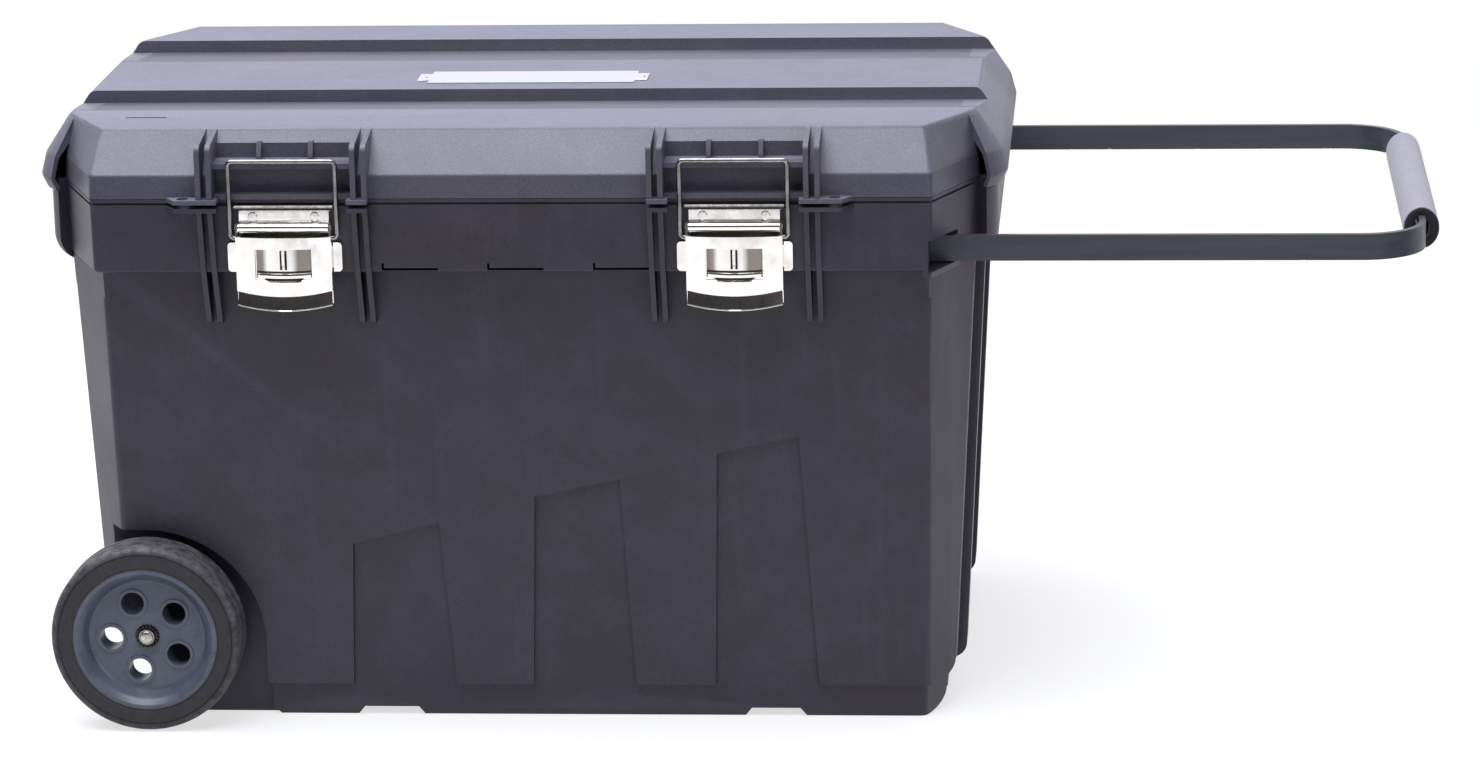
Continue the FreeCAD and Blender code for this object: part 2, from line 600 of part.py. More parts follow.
    # The axle bosses stand in the wells, so they are added back after the wells are cut
    bosses = [
        rod_y(side * (WELL_Y - 4), side * (WELL_Y + BOSS_H), WHEEL_X, WHEEL_R, BOSS_R)
        for side in (-1, 1)
    ]
    tub = tub.cut(toe_block(0.0))
    tub = fuse([tub] + [b.cut(toe_block(0.0)) for b in bosses])

    tools = [handle_tunnel(-1, RIM_FRONT), handle_tunnel(1, RIM_REAR)]
    for side in (-1, 1):
        # port in the cut corner, its bar hole, and the pocket under each lobe
        tools.append(box(
            PORT_X, LOBE_X, side * (INNER_RIM_Y + PORT_WALL), side * (RIM_FRONT + 10), *PORT_Z))
        tools.append(box(
            GUIDE_EXIT_X - EPS, PORT_X + EPS,
            side * (BAR_Y - BAR_T / 2 - GUIDE_FIT), side * (BAR_Y + BAR_T / 2 + GUIDE_FIT),
            BAR_Z - BAR_H / 2 - GUIDE_FIT, BAR_Z + BAR_H / 2 + GUIDE_FIT))
        pocket = box(
            side * (WALL_TOP_X + 2.0), side * (LOBE_OUT_X - LOBE_SKIN),
            -FLANGE_HALF_Y + LOBE_POCKET_END, FLANGE_HALF_Y - LOBE_POCKET_END,
            LOBE_LOW_Z - EPS, rim_top - DECK)
        tools.append(pocket)
        tools.append(flange_clearance(side))
        # seats for the guide screws
        for x in guide_screw_xs():
            tools.append(rod_y(
                side * (INNER_RIM_Y - EPS), side * (INNER_RIM_Y + DECK + EPS),
                x, SCREW_Z, SCREW_D / 2 + PIN_FIT))
    tools.append(rod_y(-RIM_FRONT, RIM_FRONT, WHEEL_X, WHEEL_R, AXLE_D / 2 + AXLE_FIT))
    for x0, x1, depth in STRAP_GROOVES:
        tools.append(prism_xz([
            (x0 - EPS - GROOVE_FLANK * 0.2, -EPS), (x0 + GROOVE_FLANK, depth),
            (x1 - GROOVE_FLANK, depth), (x1 + EPS + GROOVE_FLANK * 0.2, -EPS),
        ], -RIM_FRONT, RIM_FRONT))
    # seal groove
    tools.append(seal_ring(SEAL_CLEARANCE, rim_top - SEAL_H + SEAL_FOOT, rim_top + EPS))
    # latch rivet holes
    for centre in (-LATCH_X, LATCH_X):
        for dx, z in LATCH_RIVETS:
            tools.append(rod_y(
                -RIM_FRONT - EPS, -RIM_FRONT + BAND_SKIN + EPS, centre + dx, z,
                LATCH_RIVET_D / 2 + PIN_FIT))
    tub = tub.cut(tools)

    # ribs inside the band, clear of the handle guides
    ribs = []
    guide_y = BAR_Y + BAR_T / 2 + SLIDER_T + GUIDE_FIT + GUIDE_WALL + 0.6
    for x in BAND_RIB_X:
        for side, rim_y in ((-1, RIM_FRONT), (1, RIM_REAR)):
            ribs.append(box(
                x - BAND_RIB_T / 2, x + BAND_RIB_T / 2,
                side * max(guide_y, WALL_TOP_Y - 2), side * (rim_y - BAND_SKIN + 0.5),
                BAND_LOW_Z + 6, rim_top - DECK + 0.5))
    knuckles = [tub_knuckle(x) for x in HINGE_STATIONS]
    tub = fuse([tub] + ribs + [k for pair in knuckles for k in pair])
    pins = [rod_x(*hinge_span(x), HINGE_PIN_Y, PARTING_Z, LID_PIN_D / 2 + PIN_FIT)
            for x in HINGE_STATIONS]
    tub = tub.cut(pins)
    return tub.removeSplitter()


def seal_ring(clearance, z0, z1):
    outer_inset = SEAL_INSET - clearance
    inner_inset = SEAL_INSET + SEAL_W + clearance
    outer = loft(rim_outline(z0, outer_inset), rim_outline(z1, outer_inset))
    inner = loft(rim_outline(z0 - EPS, inner_inset), rim_outline(z1 + EPS, inner_inset))
    return outer.cut(inner)


def make_seal():
    rim_top = PARTING_Z - RIM_GAP
    return seal_ring(0.0, rim_top - SEAL_H + SEAL_FOOT, rim_top + SEAL_PROUD)


# ---------------------------------------------------------------- lid hinge
def hinge_span(x):
    half = LID_KNUCKLE_L / 2 + KNUCKLE_GAP + TUB_KNUCKLE_L
    return x - half, x + half


def tub_knuckle(x):
    """Two knuckles on brackets below the parting line."""
    parts = []
    for side in (-1, 1):
        x0 = x + side * (LID_KNUCKLE_L / 2 + KNUCKLE_GAP)
        x1 = x0 + side * TUB_KNUCKLE_L
        low, high = min(x0, x1), max(x0, x1)
        barrel = rod_x(low, high, HINGE_PIN_Y, PARTING_Z, HINGE_KNUCKLE_R)
        bracket = prism_yz([
            (RIM_REAR - 2.0, PARTING_Z - RIM_GAP), (HINGE_PIN_Y, PARTING_Z - RIM_GAP),
            (HINGE_PIN_Y + HINGE_KNUCKLE_R, PARTING_Z - 1.0),
            (RIM_REAR - 2.0, PARTING_Z - 22.0),
        ], low, high)
        parts += [barrel, bracket]
    return parts


def lid_knuckle(x):
    low, high = x - LID_KNUCKLE_L / 2, x + LID_KNUCKLE_L / 2
    barrel = rod_x(low, high, HINGE_PIN_Y, PARTING_Z, HINGE_KNUCKLE_R)
    bracket = prism_yz([
        (RIM_REAR - 3.0, PARTING_Z + RIM_GAP), (HINGE_PIN_Y, PARTING_Z + RIM_GAP),
        (HINGE_PIN_Y + HINGE_KNUCKLE_R, PARTING_Z + 1.0),
        (RIM_REAR - 3.0, PARTING_Z + 20.0),
    ], low, high)
    return [barrel, bracket]


def make_hinge_pins():
    pins = [rod_x(*hinge_span(x), HINGE_PIN_Y, PARTING_Z, LID_PIN_D / 2)
            for x in HINGE_STATIONS]
    return Part.makeCompound(pins)


# ---------------------------------------------------------------- lid
def lid_levels(inset, z_top, z_low):
    knee = LID_KNEE_Z - inset * 0.4
    return [
        level(z_low, RIM_X, RIM_FRONT, RIM_REAR, RIM_CORNER, inset),
        level(knee, LID_KNEE_X, LID_KNEE_FRONT, LID_KNEE_REAR, LID_KNEE_CORNER, inset),
        level(z_top, LID_TOP_X, LID_TOP_FRONT, LID_TOP_REAR, LID_TOP_CORNER, inset),
    ]


def groove_outline(front, steep, grow):
    bottom = LID_Z - GROOVE_DEPTH
    return [
        (front - 2 * grow, LID_Z + EPS), (front - 2 * grow, LID_Z - grow),
        (steep, bottom - grow), (steep + grow, bottom - grow), (steep + grow, LID_Z + EPS),
    ] if grow else [
        (front, LID_Z), (front - EPS, LID_Z + EPS), (steep, LID_Z + EPS), (steep, bottom),
    ]


def round_the_end(outline, radii, sweep, side):
    """Section (x, z) run straight along the end of the chest, then round both corners."""
    def section(y):
        return Part.Face(rounded([V(x, y, z) for x, z in outline], radii))
    parts = [section(-FLANGE_HALF_Y).extrude(V(0, 2 * FLANGE_HALF_Y, 0))]
    for turn in (-1, 1):
        y = turn * FLANGE_HALF_Y
        parts.append(section(y).revolve(V(LOBE_X - FLANGE_ROUND, y, 0), V(0, 0, 1), turn * sweep))
    shape = fuse(parts)
    return shape if side > 0 else mirror_x(shape)


def flange(side):
    """Lifting flange: a sheet that runs down and out from the lid's top, its lower edge turned in."""
    t = FLANGE_T
    outer = [
        (LID_TOP_X - 8, LID_Z), (FLANGE_ROOT_X, LID_Z), FLANGE_SHOULDER,
        (LOBE_X, FLANGE_WIDEST_Z), FLANGE_EDGE,
    ]
    inner = [
        (FLANGE_EDGE[0] - t, FLANGE_EDGE[1] + t / 2), (LOBE_X - t, FLANGE_WIDEST_Z),
        (FLANGE_SHOULDER[0] - t, FLANGE_SHOULDER[1] - t / 2), (LID_TOP_X - t / 2, LID_Z - 2 * t),
        (LID_TOP_X - 8, LID_Z - 2 * t),
    ]
    radii = (0, *FLANGE_OUTER_R, 1.0, 1.0, *FLANGE_INNER_R, 0, 0)
    return round_the_end(outer + inner, radii, FLANGE_SWEEP, side)


def flange_clearance(side):
    """Room in the carry lobe for the lower lip of the flange."""
    x0 = FLANGE_EDGE[0] - FLANGE_T - FLANGE_GAP
    z0, z1 = FLANGE_EDGE[1] - 2 * FLANGE_GAP, PARTING_Z + EPS
    outline = [(x0, z0), (LOBE_X + 5, z0), (LOBE_X + 5, z1), (x0, z1)]
    return round_the_end(outline, (0, 0, 0, 0), FLANGE_SWEEP + 3.0, side)


def make_lid():
    outer = loft(*lid_levels(0.0, LID_Z, PARTING_Z))
    not_at_the_ends = LID_TOP_X - 2 * LID_EDGE_R
    outer = soften(
        outer, LID_EDGE_R,
        lambda b: b.ZMax > PARTING_Z + EPS and min(abs(b.XMin), abs(b.XMax)) < not_at_the_ends)
    solids = [outer, flange(1), flange(-1)]
    for side in (-1, 1):
        for y in (-GUSSET_Y, GUSSET_Y):
            gusset = prism_xz([
                (side * (LID_KNEE_X - 3), PARTING_Z + 8), (side * (LOBE_X - 4), PARTING_Z + 8),
                (side * (FLANGE_SHOULDER[0] - 1.8), FLANGE_SHOULDER[1] - 1.5),
                (side * FLANGE_ROOT_X, LID_Z - 4),
            ], y - GUSSET_T / 2, y + GUSSET_T / 2)
            solids.append(gusset)
    outer = fuse(solids)

    # Long V grooves, and the small lanyard slot in the front strip
    tools = [prism_yz(groove_outline(f, s, 0), -LOBE_X - EPS, LOBE_X + EPS) for f, s in GROOVES]
    slot_l, slot_w, slot_d = LANYARD_SLOT
    sx, sy = LANYARD_SLOT_AT
    tools.append(box(sx - slot_l / 2, sx + slot_l / 2, sy - slot_w / 2, sy + slot_w / 2,
                     LID_Z - slot_d, LID_Z + EPS))
    # Latch recesses
    for centre in (-LATCH_X, LATCH_X):
        x0, x1 = centre - RIB_OFFSETS[0], centre + RIB_OFFSETS[0]
        tools.append(box(x0, x1, -RIM_FRONT - 20, RECESS_Y, LEDGE_TOP_Z, LID_Z + EPS))
        tools.append(box(x0, x1, -RIM_FRONT - 20, UNDERCUT_Y, PARTING_Z + SILL_H, LEDGE_TOP_Z - LEDGE_T))
    outer = outer.cut(tools)

    # Hollow underside
    low = PARTING_Z - EPS
    inner = loft(*lid_levels(LID_WALL, LID_Z - LID_WALL, low))
    keep = [prism_yz(groove_outline(f, s, LID_WALL), -LOBE_X, LOBE_X) for f, s in GROOVES]
    for centre in (-LATCH_X, LATCH_X):
        half = RIB_OFFSETS[0] + RIB_T
        keep.append(box(centre - half, centre + half, -RIM_FRONT - 20, RECESS_Y + LID_WALL, 0, LID_Z))
    foot = loft(
        level(low - EPS, RIM_X, RIM_FRONT, RIM_REAR, RIM_CORNER, -2),
        level(PARTING_Z + LID_RIM_H, RIM_X, RIM_FRONT, RIM_REAR, RIM_CORNER, -2),
    ).cut(loft(
        level(low - 2 * EPS, RIM_X, RIM_FRONT, RIM_REAR, RIM_CORNER, LID_RIM_W),
        level(PARTING_Z + LID_RIM_H + EPS, RIM_X, RIM_FRONT, RIM_REAR, RIM_CORNER, LID_RIM_W),
    ))
    keep.append(foot)
    for x in HINGE_STATIONS:
        keep.append(box(
            x - HINGE_PAD, x + HINGE_PAD, RIM_REAR - LID_WALL - 3, RIM_REAR + 5, 0, LID_KNEE_Z))
    lid = outer.cut(inner.cut(keep))

    # Ledges, stiffeners, ribs and flanges at the latches
    added = []
    for centre in (-LATCH_X, LATCH_X):
        half = RIB_OFFSETS[0]
        added.append(box(
            centre - half - 1, centre + half + 1, LEDGE_Y, RECESS_Y + 2,
            LEDGE_TOP_Z - LEDGE_T, LEDGE_TOP_Z))
        for dx in (-STIFFENER_X, STIFFENER_X):
            front = RECESS_Y - STIFFENER_FRONT
            added.append(prism_yz([
                (RECESS_Y + 1, STIFFENER_Z), (RECESS_Y - STIFFENER_HEAD, STIFFENER_Z),
                (front, LEDGE_TOP_Z + 3.5), (front, LEDGE_TOP_Z - 0.5),
                (RECESS_Y + 1, LEDGE_TOP_Z - 0.5),
            ], centre + dx - STIFFENER_T / 2, centre + dx + STIFFENER_T / 2))
        ribs = [r.cut(inner) for r in latch_ribs_lid(centre)]
        added += ribs
        added += latch_plates(centre, LID_PLATE_Z)
        added.append(box(centre - half - 1, centre + half + 1, LIP_Y, UNDERCUT_Y + 1,
                         PARTING_Z, PARTING_Z + SILL_H))
    for x in HINGE_STATIONS:
        added += lid_knuckle(x)
    lid = fuse([lid] + added)
    tools = [rod_x(*hinge_span(x), HINGE_PIN_Y, PARTING_Z, LID_PIN_D / 2 + PIN_FIT)
             for x in HINGE_STATIONS]
    # Pin holes of the name plate
    for x in plate_pin_xs():
        tools.append(rod_z(LID_Z - LID_WALL - EPS, LID_Z + EPS, x, PLATE_AT[1], PLATE_PIN_D / 2 + PIN_FIT))
    return lid.cut(tools).removeSplitter()


# ---------------------------------------------------------------- name plate
def plate_pin_xs():
    reach = PLATE_L / 2 + PLATE_TAB_L / 2
    return PLATE_AT[0] - reach, PLATE_AT[0] + reach


def make_name_plate():
    cx, cy = PLATE_AT
    half, tab = PLATE_L / 2, PLATE_L / 2 + PLATE_TAB_L
    main = box(cx - half, cx + half, cy - PLATE_W / 2, cy + PLATE_W / 2, LID_Z, LID_Z + PLATE_T)
    ends = box(cx - tab, cx + tab, cy - PLATE_TAB_W / 2, cy + PLATE_TAB_W / 2, LID_Z, LID_Z + PLATE_T)
    holes = [rod_z(LID_Z - EPS, LID_Z + 2 * EPS, x, cy, PLATE_PIN_D / 2 + PIN_FIT) for x in plate_pin_xs()]
    return fuse([main, ends]).cut(holes).removeSplitter()


def make_plate_pins():
    pins = []
    for x in plate_pin_xs():
        top = LID_Z + PLATE_T
        shank = rod_z(LID_Z - LID_WALL, top, x, PLATE_AT[1], PLATE_PIN_D / 2)
        head = rod_z(top, top + PLATE_PIN_HEAD_H, x, PLATE_AT[1], PLATE_PIN_HEAD_D / 2)
        pins.append(shank.fuse(head).removeSplitter())
    return Part.makeCompound(pins)


# ---------------------------------------------------------------- handle
def make_handle_bar():
    """Flat bar bent into a long U, open towards the chest."""
    def leg_line(offset):
        r = BEND_R + offset
        xc, yc = HANDLE_X - BEND_R, BAR_Y - BEND_R
        y, x = BAR_Y + offset, HANDLE_X + offset
        d = r * math.sin(math.pi / 4)
        return [
            Part.makeLine(V(BAR_INNER_X, -y, 0), V(xc, -y, 0)),
            Part.Arc(V(xc, -y, 0), V(xc + d, -yc - d, 0), V(x, -yc, 0)).toShape(),
            Part.makeLine(V(x, -yc, 0), V(x, yc, 0)),
            Part.Arc(V(x, yc, 0), V(xc + d, yc + d, 0), V(xc, y, 0)).toShape(),
            Part.makeLine(V(xc, y, 0), V(BAR_INNER_X, y, 0)),
        ]
    outer, inner = leg_line(BAR_T / 2), leg_line(-BAR_T / 2)
    ends = []
    for side in (-1, 1):
        a = V(BAR_INNER_X, side * (BAR_Y - BAR_T / 2), 0)
        b = V(BAR_INNER_X, side * (BAR_Y + BAR_T / 2), 0)
        ends.append(Part.makeLine(a, b))
    wire = Part.Wire(Part.__sortEdges__(outer + inner + ends))
    bar = Part.Face(wire).extrude(V(0, 0, BAR_H))
    bar.translate(V(0, 0, BAR_Z - BAR_H / 2))
    holes = [rod_y(side * (BAR_Y - 20), side * (BAR_Y + 20), x, BAR_Z, RIVET_D / 2)
             for side in (-1, 1) for x in slider_rivet_xs()]
    return bar.cut(holes)


def slider_rivet_xs():
    end = BAR_INNER_X
    return end + RIVET_AT[0], end + RIVET_AT[1]


def slider_span():
    right = GUIDE_EXIT_X - GUIDE_COLLAR - GUIDE_STOP_GAP
    return right - SLIDER_L, right


def make_sliders():
    """Low-friction sleeves on the inner ends of the legs. They also stop the stroke."""
    x0, x1 = slider_span()
    half_y, half_z = BAR_T / 2 + SLIDER_T, BAR_H / 2 + SLIDER_T
    solids = []
    for side in (-1, 1):
        y = side * BAR_Y
        sleeve = box(x0, x1, y - half_y, y + half_y, BAR_Z - half_z, BAR_Z + half_z)
        slot = box(BAR_INNER_X, x1 + EPS, y - BAR_T / 2, y + BAR_T / 2,
                   BAR_Z - BAR_H / 2, BAR_Z + BAR_H / 2)
        holes = [rod_y(y - 20, y + 20, x, BAR_Z, RIVET_D / 2) for x in slider_rivet_xs()]
        solids.append(sleeve.cut([slot] + holes))
    return Part.makeCompound(solids)


def make_handle_rivets():
    half = BAR_T / 2 + SLIDER_T
    return Part.makeCompound([
        rod_y(side * BAR_Y - half, side * BAR_Y + half, x, BAR_Z, RIVET_D / 2)
        for side in (-1, 1) for x in slider_rivet_xs()
    ])


def make_grip():
    """Slit foam sleeve, oval in section, wrapped round the cross bar."""
    def oval(half_x, half_z):
        ellipse = Part.Ellipse(V(0, 0, 0), half_z, half_x)
        face = Part.Face(Part.Wire(ellipse.toShape()))
        body = face.extrude(V(0, 0, 2 * GRIP_HALF_Y))
        # the ellipse's long axis is turned upright, its sweep along Y
        body.rotate(V(0, 0, 0), V(0, 0, 1), 90)
        body.rotate(V(0, 0, 0), V(1, 0, 0), -90)
        body.translate(V(HANDLE_X, -GRIP_HALF_Y, BAR_Z))
        return body
    hole_z = BAR_H / 2 + GRIP_FIT
    sleeve = oval(GRIP_RX, GRIP_RZ)
    hole = box(HANDLE_X - BAR_T / 2 - GRIP_FIT, HANDLE_X + BAR_T / 2 + GRIP_FIT,
               -GRIP_HALF_Y - EPS, GRIP_HALF_Y + EPS, BAR_Z - hole_z, BAR_Z + hole_z)
    rounded = oval(GRIP_HOLE_W / 2, BAR_H / 2 - 1.0)
    slit = box(HANDLE_X - 2 * GRIP_RX, HANDLE_X, -GRIP_HALF_Y - EPS, GRIP_HALF_Y + EPS,
               BAR_Z - GRIP_SLIT / 2, BAR_Z + GRIP_SLIT / 2)
    slit.rotate(V(HANDLE_X, 0, BAR_Z), V(0, 1, 0), -GRIP_SLIT_TURN)
    return sleeve.cut([hole, rounded, slit])


def guide_left_x():
    return slider_span()[0] - STROKE - GUIDE_SPARE


def guide_screw_xs():
    start = guide_left_x() + SCREW_FIRST
    return [start + i * SCREW_PITCH for i in range(3)]


def make_guide(side):
    """Channel that one leg slides in, screwed to the inner wall of the rim."""
    x0, x1 = guide_left_x(), GUIDE_EXIT_X - 0.2
    y_wall = INNER_RIM_Y + DECK + 0.1
    half_y = BAR_T / 2 + SLIDER_T + GUIDE_FIT
    half_z = BAR_H / 2 + SLIDER_T + GUIDE_FIT
    y_far = BAR_Y + half_y + GUIDE_WALL
    z0, z1 = SHELF_Z + 0.1, SCREW_Z + 6.0
    body = box(x0, x1, side * y_wall, side * y_far, z0, z1)
    wide = box(x0 - EPS, x1 - GUIDE_COLLAR, side * (BAR_Y - half_y), side * (BAR_Y + half_y),
               BAR_Z - half_z, BAR_Z + half_z)
    narrow_y, narrow_z = BAR_T / 2 + GUIDE_FIT, BAR_H / 2 + GUIDE_FIT
    narrow = box(x0, x1 + EPS, side * (BAR_Y - narrow_y), side * (BAR_Y + narrow_y),
                 BAR_Z - narrow_z, BAR_Z + narrow_z)
    y0, y1 = side * (y_wall - EPS), side * (y_wall + SCREW_BITE + EPS)
    holes = [rod_y(y0, y1, x, SCREW_Z, SCREW_D / 2 + PIN_FIT) for x in guide_screw_xs()]
    return body.cut([wide, narrow] + holes)


def make_guide_screws():
    screws = []
    for side in (-1, 1):
        for x in guide_screw_xs():
            inner = INNER_RIM_Y
            shank = rod_y(side * inner, side * (inner + DECK + SCREW_BITE), x, SCREW_Z, SCREW_D / 2)
            head = rod_y(side * (inner - SCREW_HEAD_H), side * inner, x, SCREW_Z, SCREW_HEAD_D / 2)
            recess = box(x - 2.0, x + 2.0, side * (inner - SCREW_HEAD_H - EPS),
                         side * (inner - SCREW_HEAD_H + 1.2), SCREW_Z - 0.5, SCREW_Z + 0.5)
            cross = recess.copy()
            cross.rotate(V(x, 0, SCREW_Z), V(0, 1, 0), 90)
            screws.append(shank.fuse(head).cut([recess, cross]).removeSplitter())
    return Part.makeCompound(screws)


# ---------------------------------------------------------------- wheels
def turned(profile, side):
    """Solid of revolution about the axle from (radius, distance out) pairs."""
    points = [V(WHEEL_X + r, side * y, WHEEL_R) for r, y in profile]
    face = Part.Face(closed(points))
    return face.revolve(V(WHEEL_X, 0, WHEEL_R), V(0, 1, 0), 360)


def tyre_inner_face():
    return TYRE_FACE_Y - TYRE_W


def hub_inner_face():
    return WELL_Y + BOSS_H + 2 * WASHER_GAP + WASHER_T


def make_hub(side):
    inner, face = tyre_inner_face(), TYRE_FACE_Y - HUB_FACE_STEP
    disc0, disc1 = HUB_DISC_Y - HUB_DISC_T, HUB_DISC_Y
    bore = AXLE_D / 2 + AXLE_FIT
    barrel_in = HUB_R - HUB_BARREL_T
    profile = [
        (bore, hub_inner_face()), (HUB_BOSS_R, hub_inner_face()), (HUB_BOSS_R, disc0),
        (barrel_in, disc0), (barrel_in, inner), (HUB_R, inner), (HUB_R, face),
        (HUB_R - 1.5, face + 0.6), (HUB_LIP_R + 4.0, face + 0.6), (HUB_LIP_R, face - 3.0),
        (HUB_LIP_R - 3.5, disc1 + 2.0), (HUB_LIP_R - 7.0, disc1), (bore, disc1),
    ]
    hub = turned(profile, side)
    collars, holes = [], []
    for i in range(HUB_HOLES):
        a = math.radians(HUB_HOLE_FIRST + i * 360.0 / HUB_HOLES)
        x = WHEEL_X + HUB_HOLE_PCD_R * math.cos(a)
        z = WHEEL_R + HUB_HOLE_PCD_R * math.sin(a)
        low, high = disc0 - HUB_COLLAR_DEEP, disc1 + HUB_COLLAR_H
        collars.append(rod_y(side * low, side * high, x, z, HUB_HOLE_R + HUB_COLLAR_W))
        holes.append(rod_y(side * (low - EPS), side * (high + EPS), x, z, HUB_HOLE_R))
    ribs = []
    for i in range(HUB_HOLES):
        angle = HUB_HOLE_FIRST + (i + 0.5) * 360.0 / HUB_HOLES
        rib = box(HUB_BOSS_R - 1, barrel_in + 1, side * (inner + 4), side * (disc0 + 0.5),
                  -HUB_RIB_T / 2, HUB_RIB_T / 2)
        rib.rotate(V(0, 0, 0), V(0, 1, 0), -angle)
        rib.translate(V(WHEEL_X, 0, WHEEL_R))
        ribs.append(rib)
    return fuse([hub] + collars + ribs).cut(holes).removeSplitter()


def make_tyre(side):
    inner, face, s = tyre_inner_face(), TYRE_FACE_Y, TYRE_SHOULDER
    r = WHEEL_R
    k = 1 - math.sqrt(0.5)
    profile = [
        (HUB_R, inner), (r - s, inner), (r - k * s, inner + k * s), (r, inner + s),
        (r, face - s), (r - k * s, face - k * s), (r - s, face), (HUB_R + 1.5, face),
        (HUB_R, face - HUB_FACE_STEP),
    ]
    return turned(profile, side)


def make_axle():
    reach = HUB_DISC_Y + CAP_H - CAP_SKIN
    return rod_y(-reach, reach, WHEEL_X, WHEEL_R, AXLE_D / 2)


def make_washers():
    solids = []
    for side in (-1, 1):
        y0 = WELL_Y + BOSS_H + WASHER_GAP
        ring = rod_y(side * y0, side * (y0 + WASHER_T), WHEEL_X, WHEEL_R, WASHER_D / 2)
        solids.append(ring.cut(rod_y(-300, 300, WHEEL_X, WHEEL_R, AXLE_D / 2 + AXLE_FIT)))
    return Part.makeCompound(solids)


def make_caps():
    """Domed push-on caps that hold the wheels on the axle."""
    solids = []
    for side in (-1, 1):
        y0 = HUB_DISC_Y + CAP_GAP
        outer = [(AXLE_D / 2, y0), (CAP_D / 2, y0), (CAP_D / 2, y0 + 2.6),
                 (CAP_D / 2 - 1.6, y0 + 4.6), (CAP_D / 4, y0 + CAP_H), (0, y0 + CAP_H),
                 (0, HUB_DISC_Y + CAP_H - CAP_SKIN), (AXLE_D / 2, HUB_DISC_Y + CAP_H - CAP_SKIN)]
        solids.append(turned(outer, side))
    return Part.makeCompound(solids)


# ---------------------------------------------------------------- latches
def make_latch_base(centre):
    """Riveted steel plate with side ears, and the lever's hinge barrel along its top."""
    half = BASE_W / 2
    y0 = -RIM_FRONT
    front = y0 - BASE_T
    parts = [box(centre - half, centre + half, front, y0, BASE_LOW_Z, BASE_TOP_Z)]
    z0, z1 = EAR_Z
    for side in (-1, 1):
        inner = LEVER_HALF_W + CHEEK_GAP
        ear = box(
            centre + side * inner, centre + side * EAR_HALF_W, y0 - EAR_T, y0, z0, z1)
        edges = [
            e for e in ear.Edges
            if abs(e.tangentAt(e.FirstParameter).y) > 0.9
            and abs(abs(e.BoundBox.Center.x - centre) - EAR_HALF_W) < 0.1
        ]
        parts.append(ear.makeFillet(EAR_ROUND, edges))
        parts.append(box(
            centre + side * (half - 1), centre + side * (inner + 1), front, y0, z0 + 3, z1 - 3))
    barrel = rod_x(centre - half, centre + half, HINGE_Y, HINGE_Z, BARREL_R)
    web = prism_yz([
        (front + 0.3, HINGE_Z - 1.4), (HINGE_Y, HINGE_Z - 1.4),
        (HINGE_Y, HINGE_Z + BARREL_R - 0.4), (front + 0.3, HINGE_Z + BARREL_R + 1.0),
    ], centre - half, centre + half)
    tools = [rod_x(
        centre - half - EPS, centre + half + EPS, HINGE_Y, HINGE_Z, HINGE_PIN_D / 2 + PIN_FIT)]
    for dx, z in LATCH_RIVETS:
        tools.append(rod_y(front - EPS, y0 + EPS, centre + dx, z, LATCH_RIVET_D / 2 + PIN_FIT))
    return fuse(parts + [barrel, web]).cut(tools).removeSplitter()


def curved_skin(centre, half_w, face_y, bulge, thickness, z0, z1):
    """Upright sheet whose front stands at face_y at its sides, further out in its middle."""
    radius = (half_w ** 2 + bulge ** 2) / (2 * bulge)
    axis_y = face_y - bulge + radius
    skin = rod_z(z0, z1, centre, axis_y, radius).cut(
        rod_z(z0 - EPS, z1 + EPS, centre, axis_y, radius - thickness))
    return skin.common(box(
        centre - half_w, centre + half_w, axis_y - radius - EPS, face_y + thickness + EPS, z0, z1))


def sagging(centre, half_w, z_side, sag, y0, y1, z_top):
    """Solid under an outline whose lower edge drops by sag in the middle."""
    arc = Part.Arc(
        V(centre + half_w, y0, z_side), V(centre, y0, z_side - sag),
        V(centre - half_w, y0, z_side)).toShape()
    edges = [
        Part.makeLine(V(centre - half_w, y0, z_side), V(centre - half_w, y0, z_top)),
        Part.makeLine(V(centre - half_w, y0, z_top), V(centre + half_w, y0, z_top)),
        Part.makeLine(V(centre + half_w, y0, z_top), V(centre + half_w, y0, z_side)),
        arc,
    ]
    return Part.Face(Part.Wire(edges)).extrude(V(0, y1 - y0, 0))


